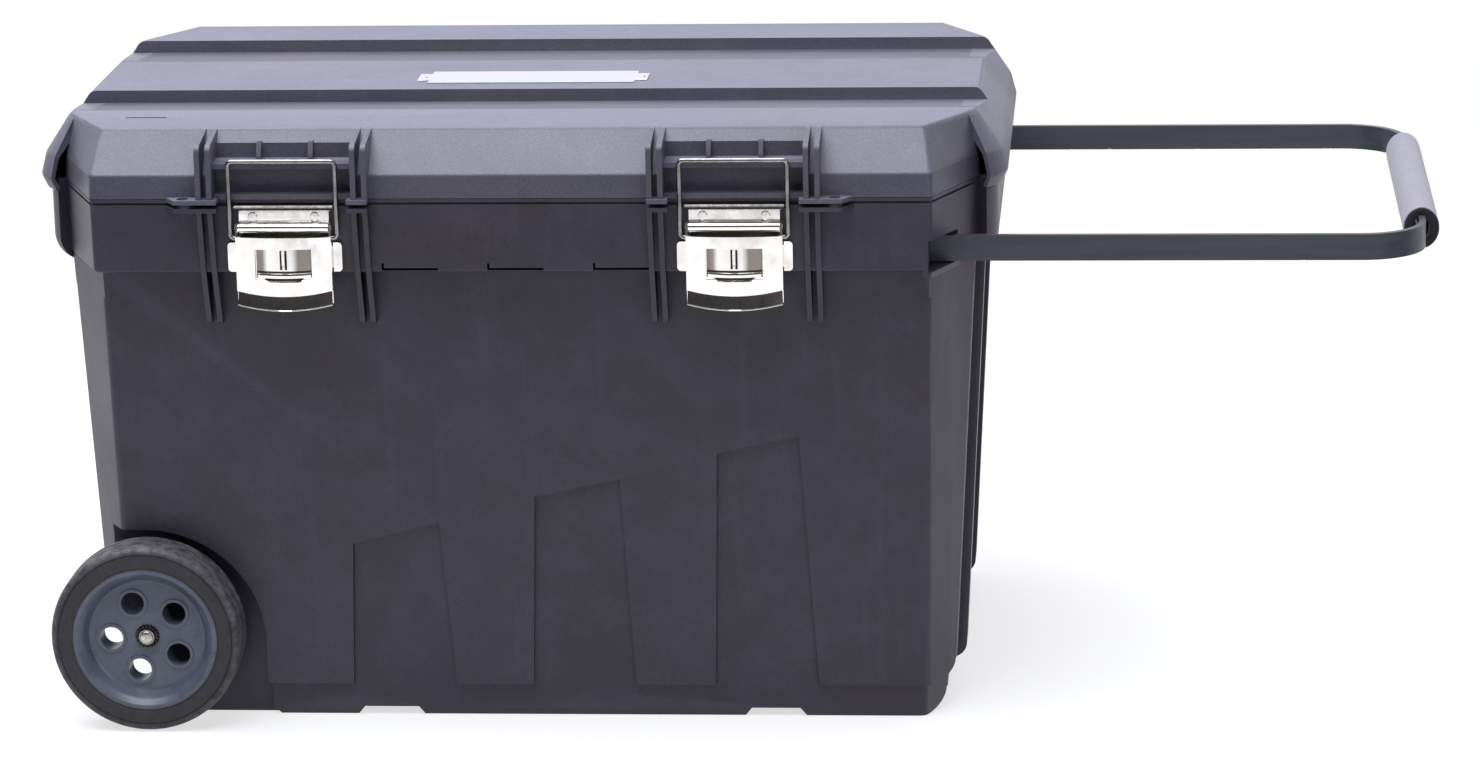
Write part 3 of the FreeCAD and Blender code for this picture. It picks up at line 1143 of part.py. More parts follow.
def make_lever(centre):
    """Pressed cover with cheeks, a window with a sunk pan, and a finger lip below."""
    half = LEVER_HALF_W
    far0, far1 = LEVER_FACE_Y - 20, LEVER_FACE_Y + 20
    cover = curved_skin(
        centre, half, LEVER_FACE_Y, LEVER_BULGE, LEVER_T, LEVER_LOW_Z - 10, LEVER_TOP_Z)
    cover = cover.common(
        sagging(centre, half, LEVER_LOW_Z, LEVER_SAG, far0, far1, LEVER_TOP_Z))
    w, z0, z1 = WINDOW
    cover = cover.cut(box(centre - w / 2, centre + w / 2, far0, far1, z0, z1))

    lip_face = LEVER_FACE_Y + LIP_SETBACK
    lip = curved_skin(
        centre, half, lip_face, LEVER_BULGE, LEVER_T, LIP_LOW_Z - 10, LEVER_LOW_Z + 3)
    lip = lip.common(
        sagging(centre, half, LIP_LOW_Z, LEVER_SAG, far0, far1, LEVER_LOW_Z + 3))
    shelf = curved_skin(
        centre, half, LEVER_FACE_Y + LEVER_T - 0.4, LEVER_BULGE, LIP_SETBACK,
        LEVER_LOW_Z - 0.4, LEVER_LOW_Z + 1.6)

    # Pan sunk behind the window, its frame, and the rolled sill under the window
    pan = box(
        centre - w / 2 - WINDOW_FRAME, centre + w / 2 + WINDOW_FRAME,
        PAN_Y - PAN_T / 2, PAN_Y + PAN_T / 2, z0 - WINDOW_FRAME, z1 + WINDOW_FRAME)
    slot_w, slot_z0, slot_z1 = PAN_SLOT
    slot = box(centre - slot_w / 2, centre + slot_w / 2, far0, far1, slot_z0, slot_z1)
    frame = box(
        centre - w / 2 - WINDOW_FRAME, centre + w / 2 + WINDOW_FRAME,
        LEVER_FACE_Y - LEVER_BULGE, PAN_Y, z0 - WINDOW_FRAME, z1 + WINDOW_FRAME)
    frame = frame.cut(box(centre - w / 2, centre + w / 2, far0, far1, z0, z1))
    radius = (half ** 2 + LEVER_BULGE ** 2) / (2 * LEVER_BULGE)
    frame = frame.common(rod_z(
        z0 - 2, z1 + 2, centre, LEVER_FACE_Y - LEVER_BULGE + radius, radius - LEVER_T / 2))
    sill_y = PAN_Y - PAN_T / 2 - SILL_R + 0.3
    sill = rod_x(
        centre - w / 2 - 0.5, centre + w / 2 + 0.5, sill_y, z0 + SILL_R - SILL_SINK, SILL_R)
    parts = [cover, lip, shelf, pan.cut(slot), frame, sill]

    for side in (-1, 1):
        x0, x1 = centre + side * (half - LEVER_T), centre + side * half
        cheek = prism_yz([
            (LEVER_FACE_Y + 0.7, LEVER_LOW_Z + 1), (CHEEK_BACK_Y, LEVER_LOW_Z + 12),
            (CHEEK_BACK_Y, HINGE_Z), (HINGE_Y + 1.0, HINGE_Z + 4.2),
            (HINGE_Y - 2.4, HINGE_Z + 3.4), (LEVER_FACE_Y + 0.1, LEVER_TOP_Z),
        ], min(x0, x1), max(x0, x1))
        parts.append(cheek)
    lever = fuse(parts)
    tools = [
        rod_x(centre - 50, centre + 50, HINGE_Y, HINGE_Z, HINGE_PIN_D / 2 + PIN_FIT),
        rod_x(centre - 50, centre + 50, *BAIL_PIVOT, BAIL_D / 2 + PIN_FIT),
    ]
    return lever.cut(tools).removeSplitter()


def wire_rod(points, radius, bend):
    """Round wire through the points, bent to a true radius at each inner point."""
    solids = []
    start = points[0]
    for a, b, c in zip(points, points[1:], points[2:]):
        u = b.sub(a)
        w = c.sub(b)
        u.normalize()
        w.normalize()
        turn = u.getAngle(w)
        reach = bend * math.tan(turn / 2)
        p = b - u * reach
        axis = u.cross(w)
        axis.normalize()
        centre = p + axis.cross(u) * bend
        run = p.sub(start)
        solids.append(Part.makeCylinder(radius, run.Length, start, run))
        disc = Part.Face(Part.Wire(Part.makeCircle(radius, p, u)))
        solids.append(disc.revolve(centre, axis, math.degrees(turn)))
        start = b + w * reach
    run = points[-1].sub(start)
    solids.append(Part.makeCylinder(radius, run.Length, start, run))
    return fuse(solids).removeSplitter()


def make_bail(centre):
    """Wire loop: turned-in ends, two legs and the bar across the lid's ledge."""
    r = BAIL_D / 2
    inner = LEVER_HALF_W - LEVER_T - BAIL_TAIL
    half = BAIL_HALF_W
    py, pz = BAIL_PIVOT
    top_y = LEDGE_Y - BAIL_GAP - r
    return wire_rod([
        V(centre - inner, py, pz), V(centre - half, py, pz), V(centre - half, top_y, BAIL_TOP_Z),
        V(centre + half, top_y, BAIL_TOP_Z), V(centre + half, py, pz), V(centre + inner, py, pz),
    ], r, BAIL_BEND)


def make_latch_pins():
    reach = LEVER_HALF_W + 0.4
    return Part.makeCompound([
        rod_x(c - reach, c + reach, HINGE_Y, HINGE_Z, HINGE_PIN_D / 2)
        for c in (-LATCH_X, LATCH_X)
    ])


def make_latch_rivets():
    solids = []
    y0 = -RIM_FRONT
    for centre in (-LATCH_X, LATCH_X):
        for dx, z in LATCH_RIVETS:
            x = centre + dx
            shank = rod_y(y0 - BASE_T, -RIM_FRONT + BAND_SKIN, x, z, LATCH_RIVET_D / 2)
            head = rod_y(y0 - BASE_T - LATCH_RIVET_HEAD_H, y0 - BASE_T, x, z, LATCH_RIVET_HEAD_D / 2)
            tail = rod_y(-RIM_FRONT + BAND_SKIN, -RIM_FRONT + BAND_SKIN + 1.0, x, z, LATCH_RIVET_HEAD_D / 2)
            solids.append(fuse([shank, head, tail]).removeSplitter())
    return Part.makeCompound(solids)


def make_staples():
    """Pierced tongues that stand through the lever windows for a padlock."""
    solids = []
    y0 = -RIM_FRONT - BASE_T
    z0, z1 = STAPLE_Z
    for centre in (-LATCH_X, LATCH_X):
        half = STAPLE_W / 2
        foot = box(centre - half, centre + half, y0 - STAPLE_FOOT_T, y0, z0 - 3.0, z1 + 2.0)
        blade = prism_yz([
            (y0 - 1.0, z0), (STAPLE_OUT_Y + 1.5, z0), (STAPLE_OUT_Y, z0 + 1.5),
            (STAPLE_OUT_Y, z1 - 1.5), (STAPLE_OUT_Y + 1.5, z1), (y0 - 1.0, z1),
        ], centre - STAPLE_T / 2, centre + STAPLE_T / 2)
        hole_y = STAPLE_OUT_Y + STAPLE_HOLE_R + 1.4
        hole = rod_x(centre - 10, centre + 10, hole_y, (z0 + z1) / 2, STAPLE_HOLE_R)
        solids.append(foot.fuse(blade).cut(hole).removeSplitter())
    return Part.makeCompound(solids)


# ---------------------------------------------------------------- write the nodes
def build():
    nodes = {
        "tub": make_tub(),
        "rim_seal": make_seal(),
        "lid": make_lid(),
        "lid_hinge_pins": make_hinge_pins(),
        "name_plate": make_name_plate(),
        "name_plate_pins": make_plate_pins(),
        "handle_bar": make_handle_bar(),
        "handle_grip": make_grip(),
        "handle_sliders": make_sliders(),
        "handle_rivets": make_handle_rivets(),
        "handle_guide_front": make_guide(-1),
        "handle_guide_rear": make_guide(1),
        "guide_screws": make_guide_screws(),
        "axle": make_axle(),
        "axle_washers": make_washers(),
        "axle_caps": make_caps(),
        "latch_hinge_pins": make_latch_pins(),
        "latch_rivets": make_latch_rivets(),
        "padlock_staples": make_staples(),
    }
    for name, side in (("front", -1), ("rear", 1)):
        nodes["wheel_hub_" + name] = make_hub(side)
        nodes["tyre_" + name] = make_tyre(side)
    for name, centre in (("left", -LATCH_X), ("right", LATCH_X)):
        nodes["latch_base_" + name] = make_latch_base(centre)
        nodes["latch_lever_" + name] = make_lever(centre)
        nodes["latch_bail_" + name] = make_bail(centre)
    return nodes


os.makedirs("parts", exist_ok=True)
for node, shape in build().items():
    shape.exportStep("parts/" + node + ".step")
    print(node, len(shape.Solids), round(shape.Volume), shape.isValid())
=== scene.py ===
import math

import bpy
from mathutils import Matrix, Vector


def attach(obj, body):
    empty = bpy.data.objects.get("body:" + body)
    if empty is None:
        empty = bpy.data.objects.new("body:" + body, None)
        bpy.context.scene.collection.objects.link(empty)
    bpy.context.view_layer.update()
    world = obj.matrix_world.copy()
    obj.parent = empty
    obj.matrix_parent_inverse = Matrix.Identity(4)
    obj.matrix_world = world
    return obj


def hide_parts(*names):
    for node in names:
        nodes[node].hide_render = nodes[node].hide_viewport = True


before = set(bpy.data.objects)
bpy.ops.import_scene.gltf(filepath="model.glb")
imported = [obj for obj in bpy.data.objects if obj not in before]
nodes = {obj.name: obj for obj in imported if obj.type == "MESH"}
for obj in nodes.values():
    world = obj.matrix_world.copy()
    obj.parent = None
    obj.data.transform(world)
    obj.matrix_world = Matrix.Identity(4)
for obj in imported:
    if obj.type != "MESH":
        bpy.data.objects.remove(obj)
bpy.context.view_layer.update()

# ---------------------------------------------------------------- camera
# A long lens about 4 m away, a little to the right of the chest and above it,
# turned slightly to the left, so that the lid's top and the right-hand end just show.
IMAGE_W = 1480
FOCAL_PX = 5203.87
YAW, PITCH, ROLL = 0.0781173, 0.2499730, -0.0195364
STANDS_AT = (0.4766526, -4.1004612, 1.2720193)

flat_right = Vector((math.cos(YAW), math.sin(YAW), 0))
flat_ahead = Vector((-math.sin(YAW), math.cos(YAW), 0))
ahead = flat_ahead * math.cos(PITCH) - Vector((0, 0, math.sin(PITCH)))
upward = flat_ahead * math.sin(PITCH) + Vector((0, 0, math.cos(PITCH)))
cam_right = flat_right * math.cos(ROLL) + upward * math.sin(ROLL)
cam_up = upward * math.cos(ROLL) - flat_right * math.sin(ROLL)

camera_data = bpy.data.cameras.new("camera")
camera_data.sensor_fit = "HORIZONTAL"
camera_data.sensor_width = 36.0
camera_data.lens = FOCAL_PX / IMAGE_W * 36.0
camera_data.clip_start = 0.1
camera_data.clip_end = 60.0
camera = bpy.data.objects.new("camera", camera_data)
bpy.context.scene.collection.objects.link(camera)
rows = zip(cam_right, cam_up, -ahead, STANDS_AT)
camera.matrix_world = Matrix((*[tuple(row) for row in rows], (0, 0, 0, 1)))
bpy.context.scene.camera = camera
bpy.context.scene.view_settings.view_transform = "Standard"


# ---------------------------------------------------------------- studio
# A sheet of white paper under the chest and a white wall behind it, one large soft box
# overhead, and a dim room on the camera's side, so upper faces are bright and the front is dark.
def linear(hex_colour):
    channels = [int(hex_colour[i:i + 2], 16) / 255 for i in (1, 3, 5)]
    return [c / 12.92 if c <= 0.04045 else ((c + 0.055) / 1.055) ** 2.4 for c in channels] + [1.0]


def node(tree, kind, inputs={}, **settings):
    added = tree.nodes.new("ShaderNode" + kind)
    for name, value in settings.items():
        setattr(added, name, value)
    for name, value in inputs.items():
        socket = added.inputs[name]
        if isinstance(value, bpy.types.Node):
            value = value.outputs[0]
        if isinstance(value, bpy.types.NodeSocket):
            tree.links.new(value, socket)
        else:
            socket.default_value = value
    return added


def new_material(name):
    material = bpy.data.materials.new(name)
    material.use_nodes = True
    material.node_tree.nodes.clear()
    return material, material.node_tree


world = bpy.data.worlds.new("studio")
world.use_nodes = True
tree = world.node_tree
tree.nodes.clear()
heading = node(tree, "SeparateXYZ", {0: node(tree, "TexCoord").outputs["Generated"]})
ROOM_DIM, WALL_WHITE, CEILING = 0.10, 1.0, 0.5     # how bright each side is
behind = node(tree, "MapRange", {
    "Value": heading.outputs["Y"], "From Min": -0.1, "From Max": 0.45,
    "To Min": ROOM_DIM, "To Max": WALL_WHITE}, interpolation_type="SMOOTHSTEP")
overhead = node(tree, "MapRange", {
    "Value": heading.outputs["Z"], "From Min": 0.5, "From Max": 0.95,
    "To Min": 0.0, "To Max": CEILING}, interpolation_type="SMOOTHSTEP")
level = node(tree, "Math", {0: behind, 1: overhead}, operation="ADD")
room = node(tree, "Background", {"Color": linear("#f4f5ff"), "Strength": level})
paper = node(tree, "Background", {"Color": linear("#ffffff"), "Strength": 1.0})
seen = node(tree, "MixShader", {0: node(tree, "LightPath").outputs["Is Camera Ray"], 1: room, 2: paper})
node(tree, "OutputWorld", {"Surface": seen})
bpy.context.scene.world = world

PAPER_SIZE, PAPER_AT = (3.6, 3.8, 1), (0.1, -0.3, -0.0005)
PAPER_GLOW = 0.66         # lifts the sheet to white for the eye and in the metal, and keeps its shadow
bpy.ops.object.select_all(action="DESELECT")
bpy.ops.mesh.primitive_plane_add(size=1, location=PAPER_AT)
floor = bpy.context.object
floor.name = "floor"
floor.scale = PAPER_SIZE
bpy.ops.object.transform_apply(location=False, rotation=False, scale=True)
paper_mat, tree = new_material("white_paper")
path = node(tree, "LightPath")
shows = node(tree, "Math", {
    0: path.outputs["Is Camera Ray"], 1: path.outputs["Is Glossy Ray"]}, operation="MAXIMUM")
lift = node(tree, "Math", {0: shows, 1: PAPER_GLOW}, operation="MULTIPLY")
matt = node(tree, "BsdfDiffuse", {"Color": linear("#a3a3a6")})
glow = node(tree, "Emission", {"Color": linear("#ffffff"), "Strength": lift})
node(tree, "OutputMaterial", {"Surface": node(tree, "AddShader", {0: matt, 1: glow})})
floor.data.materials.append(paper_mat)

LAMPS_AIM = Vector((0.1, 0, 0.2))
for name, place, size, power in (
    ("softbox_top", (-0.6, -0.5, 2.7), (3.0, 2.2), 105),
    ("softbox_front", (2.0, -2.8, 1.5), (1.6, 1.4), 16),
):
    lamp = bpy.data.lights.new(name, "AREA")
    lamp.shape = "RECTANGLE"
    lamp.size, lamp.size_y = size
    lamp.energy = power
    lamp.color = (0.95, 0.97, 1.0)
    lamp_object = bpy.data.objects.new(name, lamp)
    bpy.context.scene.collection.objects.link(lamp_object)
    lamp_object.location = place
    lamp_object.rotation_euler = (LAMPS_AIM - Vector(place)).to_track_quat("-Z", "Y").to_euler()


# ---------------------------------------------------------------- tub
# The chest is one moulding of structural-foam polypropylene, coloured charcoal in the mass.
# Its mould is spark-eroded to a fine grain and its arrises are broken by about a millimetre.
# Handling leaves faint upright rub marks and dusty patches. Paler edges are wear and painted
# highlight, and faces that look up are lightened by dust and by painted sheen.
MOULD_ARRIS = 0.0009
CLOUD_MM, PATCH_MM = 100.0, 43.5         # slow changes of tint, and hand-sized dusty patches
RUB_WIDE_MM, RUB_TALL_MM = 18.2, 250.0   # upright rub marks
WIPE_MM, WIPE_LONG_MM = 21.7, 143.0      # streaks that a cloth leaves along the lid
GRAIN_MM = 1.4                           # coarser than the real grain, so that it shows


def eased(name, arris, body, material, angle=30):
    """A copy of a CAD node with its triangles joined and its arrises rounded."""
    bpy.ops.object.select_all(action="DESELECT")
    piece = bpy.data.objects.new(name + "_finished", nodes[name].data.copy())
    bpy.context.scene.collection.objects.link(piece)
    piece.select_set(True)
    bpy.context.view_layer.objects.active = piece
    bpy.ops.object.mode_set(mode="EDIT")
    bpy.ops.mesh.select_all(action="SELECT")
    bpy.ops.mesh.remove_doubles(threshold=0.000005)
    bpy.ops.mesh.customdata_custom_splitnormals_clear()
    bpy.ops.mesh.dissolve_limited(angle_limit=math.radians(0.3))
    bpy.ops.object.mode_set(mode="OBJECT")
    broken = piece.modifiers.new("arris", "BEVEL")
    broken.width = arris
    broken.segments = 2
    broken.limit_method = "ANGLE"
    broken.angle_limit = math.radians(angle)
    broken.miter_outer = "MITER_ARC"
    bpy.ops.object.modifier_apply(modifier="arris")
    finish(piece, body, material)
    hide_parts(name)


def finish(piece, body, material):
    """Smooth shading with flat faces kept flat, one material, and the body that it rides on."""
    bpy.ops.object.select_all(action="DESELECT")
    piece.select_set(True)
    bpy.context.view_layer.objects.active = piece
    bpy.ops.object.shade_smooth_by_angle(angle=math.radians(45))
    weigh = piece.modifiers.new("weigh", "WEIGHTED_NORMAL")
    weigh.keep_sharp = True
    bpy.ops.object.modifier_apply(modifier="weigh")
    piece.data.materials.clear()
    piece.data.materials.append(material)
    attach(piece, body)


def moulded_plastic(name, base, warm, dust_and_sheen, dusty, settled_dust_and_sheen, keeps_dust_and_sheen=None):
    """Grained polyolefin: soft wide gloss, cloudy colour, dust and painted sheen on faces that look up,
    paler edges of wear and painted highlight.
    """
    material, tree = new_material(name)
    coordinates = node(tree, "TexCoord")
    place = coordinates.outputs["Object"]
    facing = node(tree, "SeparateXYZ", {0: coordinates.outputs["Normal"]})
    clouds = node(tree, "TexNoise", {
        "Vector": place, "Scale": 1000 / CLOUD_MM, "Detail": 4.0, "Roughness": 0.55})
    tint = node(tree, "MapRange", {"Value": clouds, "From Min": 0.35, "From Max": 0.65})
    body = node(tree, "Mix", {0: tint, 6: linear(base), 7: linear(warm)}, data_type="RGBA")
    patches = node(tree, "TexNoise", {
        "Vector": place, "Scale": 1000 / PATCH_MM, "Detail": 6.0, "Roughness": 0.66})
    film = node(tree, "MapRange", {"Value": patches, "From Min": 0.45, "From Max": 0.8, "To Max": dusty})
    upright = node(tree, "Mapping", {
        "Vector": place, "Scale": (1000 / RUB_WIDE_MM, 1000 / RUB_WIDE_MM, 1000 / RUB_TALL_MM)})
    rubs = node(tree, "TexNoise", {"Vector": upright, "Scale": 1.0, "Detail": 4.0, "Roughness": 0.6})
    rub_mask = node(tree, "MapRange", {"Value": rubs, "From Min": 0.56, "From Max": 0.80, "To Max": 0.22})
    # Pointed arrises are lightened, as wear and as a painted highlight.
    worn_and_highlit_edges = node(tree, "MapRange", {"Value": node(tree, "NewGeometry").outputs["Pointiness"],
                                    "From Min": 0.52, "From Max": 0.60, "To Max": 0.30})
    # Faces that look up are lightened, as dust and as painted sheen of the light from above.
    upward = node(tree, "MapRange", {"Value": facing.outputs["Z"], "From Min": 0.30, "From Max": 0.86})
    along = node(tree, "Mapping", {
        "Vector": place, "Scale": (1000 / WIPE_LONG_MM, 1000 / WIPE_MM, 1000 / WIPE_MM)})
    wiped = node(tree, "TexNoise", {"Vector": along, "Scale": 1.0, "Detail": 6.0, "Roughness": 0.62})
    thickness = node(tree, "MapRange", {"Value": wiped, "From Min": 0.3, "From Max": 0.7,
                                        "To Min": settled_dust_and_sheen * 0.80, "To Max": settled_dust_and_sheen})
    lying_dust_and_sheen = node(tree, "Math", {0: upward, 1: thickness}, operation="MULTIPLY")
    if keeps_dust_and_sheen:
        lying_dust_and_sheen = node(tree, "Math", {0: lying_dust_and_sheen, 1: keeps_dust_and_sheen(tree, place)}, operation="MULTIPLY")
    veil = node(tree, "Math", {0: film, 1: rub_mask}, operation="ADD")
    for more in (worn_and_highlit_edges, lying_dust_and_sheen):
        veil = node(tree, "Math", {0: veil, 1: more}, operation="ADD", use_clamp=True)
    colour = node(tree, "Mix", {0: veil, 6: body.outputs[2], 7: linear(dust_and_sheen)}, data_type="RGBA")
    grain = node(tree, "TexNoise", {
        "Vector": place, "Scale": 1000 / GRAIN_MM, "Detail": 3.0, "Roughness": 0.7})
    speck = node(tree, "MapRange", {
        "Value": grain, "From Min": 0.35, "From Max": 0.7, "To Min": 0.80, "To Max": 1.22})
    shade = node(tree, "VectorMath", {0: colour.outputs[2], 3: speck}, operation="SCALE")
    rough = node(tree, "MapRange", {
        "Value": clouds, "From Min": 0.3, "From Max": 0.7, "To Min": 0.38, "To Max": 0.48})
    bump = node(tree, "Bump", {"Strength": 0.35, "Distance": 0.0003, "Height": grain})
    shader = node(tree, "BsdfPrincipled", {
        "Base Color": shade, "Roughness": rough, "IOR": 1.49, "Normal": bump})
    node(tree, "OutputMaterial", {"Surface": shader})
    return material


tub_plastic = moulded_plastic(
    "structural_foam_polypropylene", "#2e2a38", "#322c36", "#565262", 0.30, 0.35)
eased("tub", MOULD_ARRIS, "chest", tub_plastic)


# ---------------------------------------------------------------- rim seal
# A strip of soft foamed rubber pressed into the groove round the rim.
# Matt black, with the open pores of a cut foam.
SEAL_PORE_MM, SEAL_CLOUD_MM = 1.0, 16.7
seal_rubber, tree = new_material("foamed_rubber")
place = node(tree, "TexCoord").outputs["Object"]
cells = node(tree, "TexVoronoi", {"Vector": place, "Scale": 1000 / SEAL_PORE_MM, "Randomness": 1.0})
cloud = node(tree, "TexNoise", {"Vector": place, "Scale": 1000 / SEAL_CLOUD_MM, "Detail": 4.0})
tone = node(tree, "Mix", {0: cloud, 6: linear("#151517"), 7: linear("#242427")}, data_type="RGBA")
pits = node(tree, "MapRange", {"Value": cells, "From Min": 0.1, "From Max": 0.6})
bump = node(tree, "Bump", {"Strength": 0.5, "Distance": 0.0003, "Height": pits})
shader = node(tree, "BsdfPrincipled", {
    "Base Color": tone.outputs[2], "Roughness": 0.85, "IOR": 1.45, "Normal": bump})
node(tree, "OutputMaterial", {"Surface": shader})
nodes["rim_seal"].data.materials[0] = seal_rubber


# ---------------------------------------------------------------- steel rods and fasteners
# Axle, washers, hinge rods, rivets and screws: low-carbon steel, drawn bright or zinc plated.
# Zinc gives a cool, slightly cloudy grey; drawn rod keeps faint lines along its length.
def worn_metal(name, light, dark, roughness, cloud_mm, stretch=(1.0, 1.0, 1.0)):
    material, tree = new_material(name)
    place = node(tree, "Mapping", {"Vector": node(tree, "TexCoord").outputs["Object"], "Scale": stretch})
    cloud = node(tree, "TexNoise", {
        "Vector": place, "Scale": 1000 / cloud_mm, "Detail": 5.0, "Roughness": 0.62})
    blur = node(tree, "MapRange", {"Value": cloud, "From Min": 0.3, "From Max": 0.72})
    tone = node(tree, "Mix", {0: blur, 6: linear(light), 7: linear(dark)}, data_type="RGBA")
    rough = node(tree, "MapRange", {
        "Value": cloud, "From Min": 0.3, "From Max": 0.72,
        "To Min": roughness * 0.75, "To Max": roughness * 1.35})
    bump = node(tree, "Bump", {"Strength": 0.06, "Distance": 0.0002, "Height": cloud})
    shader = node(tree, "BsdfPrincipled", {
        "Base Color": tone.outputs[2], "Metallic": 1.0, "Roughness": rough, "Normal": bump})
    node(tree, "OutputMaterial", {"Surface": shader})
    return material


drawn_steel = worn_metal("bright_drawn_steel", "#b9b8b6", "#8d8b88", 0.30, 3.3, (1.0, 0.05, 1.0))
hinge_steel = worn_metal("plain_hinge_rod_steel", "#a9a8a6", "#7c7a78", 0.34, 3.3, (0.05, 1.0, 1.0))
zinc_steel = worn_metal("zinc_plated_steel", "#c3c6ca", "#969aa0", 0.28, 4.5)
for name, metal in (
    ("axle", drawn_steel), ("lid_hinge_pins", hinge_steel), ("axle_washers", zinc_steel),
    ("handle_rivets", zinc_steel), ("guide_screws", zinc_steel),
):
    nodes[name].data.materials[0] = metal


# ---------------------------------------------------------------- wheels: hubs
# Injection-moulded polypropylene hubs in blue-grey, with five collared holes and a deep dish.
# The moulding is satin, so each rim and collar carries a soft bright ring.
SATIN_CLOUD_MM, SATIN_GRAIN_MM = 26.3, 0.9


def satin_plastic(name, base, pale, roughness):
    material, tree = new_material(name)
    place = node(tree, "TexCoord").outputs["Object"]
    cloud = node(tree, "TexNoise", {
        "Vector": place, "Scale": 1000 / SATIN_CLOUD_MM, "Detail": 5.0, "Roughness": 0.6})
    mask = node(tree, "MapRange", {"Value": cloud, "From Min": 0.4, "From Max": 0.75})
    tone = node(tree, "Mix", {0: mask, 6: linear(base), 7: linear(pale)}, data_type="RGBA")
    rough = node(tree, "MapRange", {
        "Value": cloud, "From Min": 0.3, "From Max": 0.7,
        "To Min": roughness - 0.05, "To Max": roughness + 0.08})
    grain = node(tree, "TexNoise", {"Vector": place, "Scale": 1000 / SATIN_GRAIN_MM, "Detail": 2.0})
    bump = node(tree, "Bump", {"Strength": 0.12, "Distance": 0.0002, "Height": grain})
    shader = node(tree, "BsdfPrincipled", {
        "Base Color": tone.outputs[2], "Roughness": rough, "IOR": 1.49, "Normal": bump})
    node(tree, "OutputMaterial", {"Surface": shader})
    return material


hub_plastic = satin_plastic("injection_moulded_polypropylene", "#565b6b", "#6d7282", 0.29)
for end in ("front", "rear"):
    eased("wheel_hub_" + end, 0.0008, end + "_wheel", hub_plastic)


# ---------------------------------------------------------------- wheels: tyres
# Solid rubber tyres moulded in a two-part mould and stretched over the hubs. The shoulder
# is rounded, a fine ridge runs round each sidewall, and two shallow grooves run round the tread.
WHEEL_AXLE = Vector((-0.296, 0, 0.075))
TYRE_R, TYRE_BORE_R = 0.075, 0.0571
TYRE_INNER_Y, TYRE_OUTER_Y = 0.2128, 0.2508
TYRE_PROFILE = (          # radius and distance out, from the bore's inner edge round to it again
    (TYRE_BORE_R, TYRE_INNER_Y), (0.0690, TYRE_INNER_Y), (0.0725, 0.2138), (0.0745, 0.2165),
    (TYRE_R, 0.2185),
    (TYRE_R, 0.2243), (0.0742, 0.2247), (0.0742, 0.2257), (TYRE_R, 0.2261),
    (TYRE_R, 0.2375), (0.0742, 0.2379), (0.0742, 0.2389), (TYRE_R, 0.2393),
    (TYRE_R, 0.2440), (0.0744, 0.2468), (0.0730, 0.2490), (0.0709, 0.2502), (0.0694, 0.2503),
    (0.0690, 0.2497), (0.0684, 0.2497), (0.0680, 0.2504), (0.0664, TYRE_OUTER_Y),
    (0.0596, TYRE_OUTER_Y), (0.0588, 0.2505), (0.0583, 0.2499), (TYRE_BORE_R, 0.2497),
)


def drawn(name, points, closed):
    """A line through the points, extruded from one corner to the next and left in edit mode."""
    bpy.ops.object.select_all(action="DESELECT")
    bpy.ops.mesh.primitive_plane_add(size=0.0001, location=points[0])
    piece = bpy.context.object
    piece.name = name
    bpy.ops.object.transform_apply(location=True)
    bpy.ops.object.mode_set(mode="EDIT")
    bpy.ops.mesh.select_all(action="SELECT")
    bpy.ops.mesh.merge(type="CENTER")
    route = points[1:] + ([points[0]] if closed else [])
    for start, end in zip(points, route):
        bpy.ops.mesh.extrude_region_move(TRANSFORM_OT_translate={"value": end - start})
    bpy.ops.mesh.select_all(action="SELECT")
    bpy.ops.mesh.remove_doubles(threshold=0.00001)
    return piece


def turned(name, axis_at, profile, side, steps):
    """A ring: a profile of radius and distance out, spun about an axle along Y."""
    points = [Vector((axis_at.x + r, side * y, axis_at.z)) for r, y in profile]
    piece = drawn(name, points, True)
    bpy.ops.mesh.spin(steps=steps, angle=2 * math.pi, center=(axis_at.x, 0, axis_at.z), axis=(0, 1, 0))
    bpy.ops.mesh.select_all(action="SELECT")
    bpy.ops.mesh.remove_doubles(threshold=0.000008)
    bpy.ops.mesh.normals_make_consistent(inside=False)
    bpy.ops.object.mode_set(mode="OBJECT")
    return piece


BLOOM_MM, SPECK_MM = 7.7, 2.4      # chalky patches and scuff specks
CHALK_FROM_R, CHALK_FULL_R = 0.0685, 0.0722


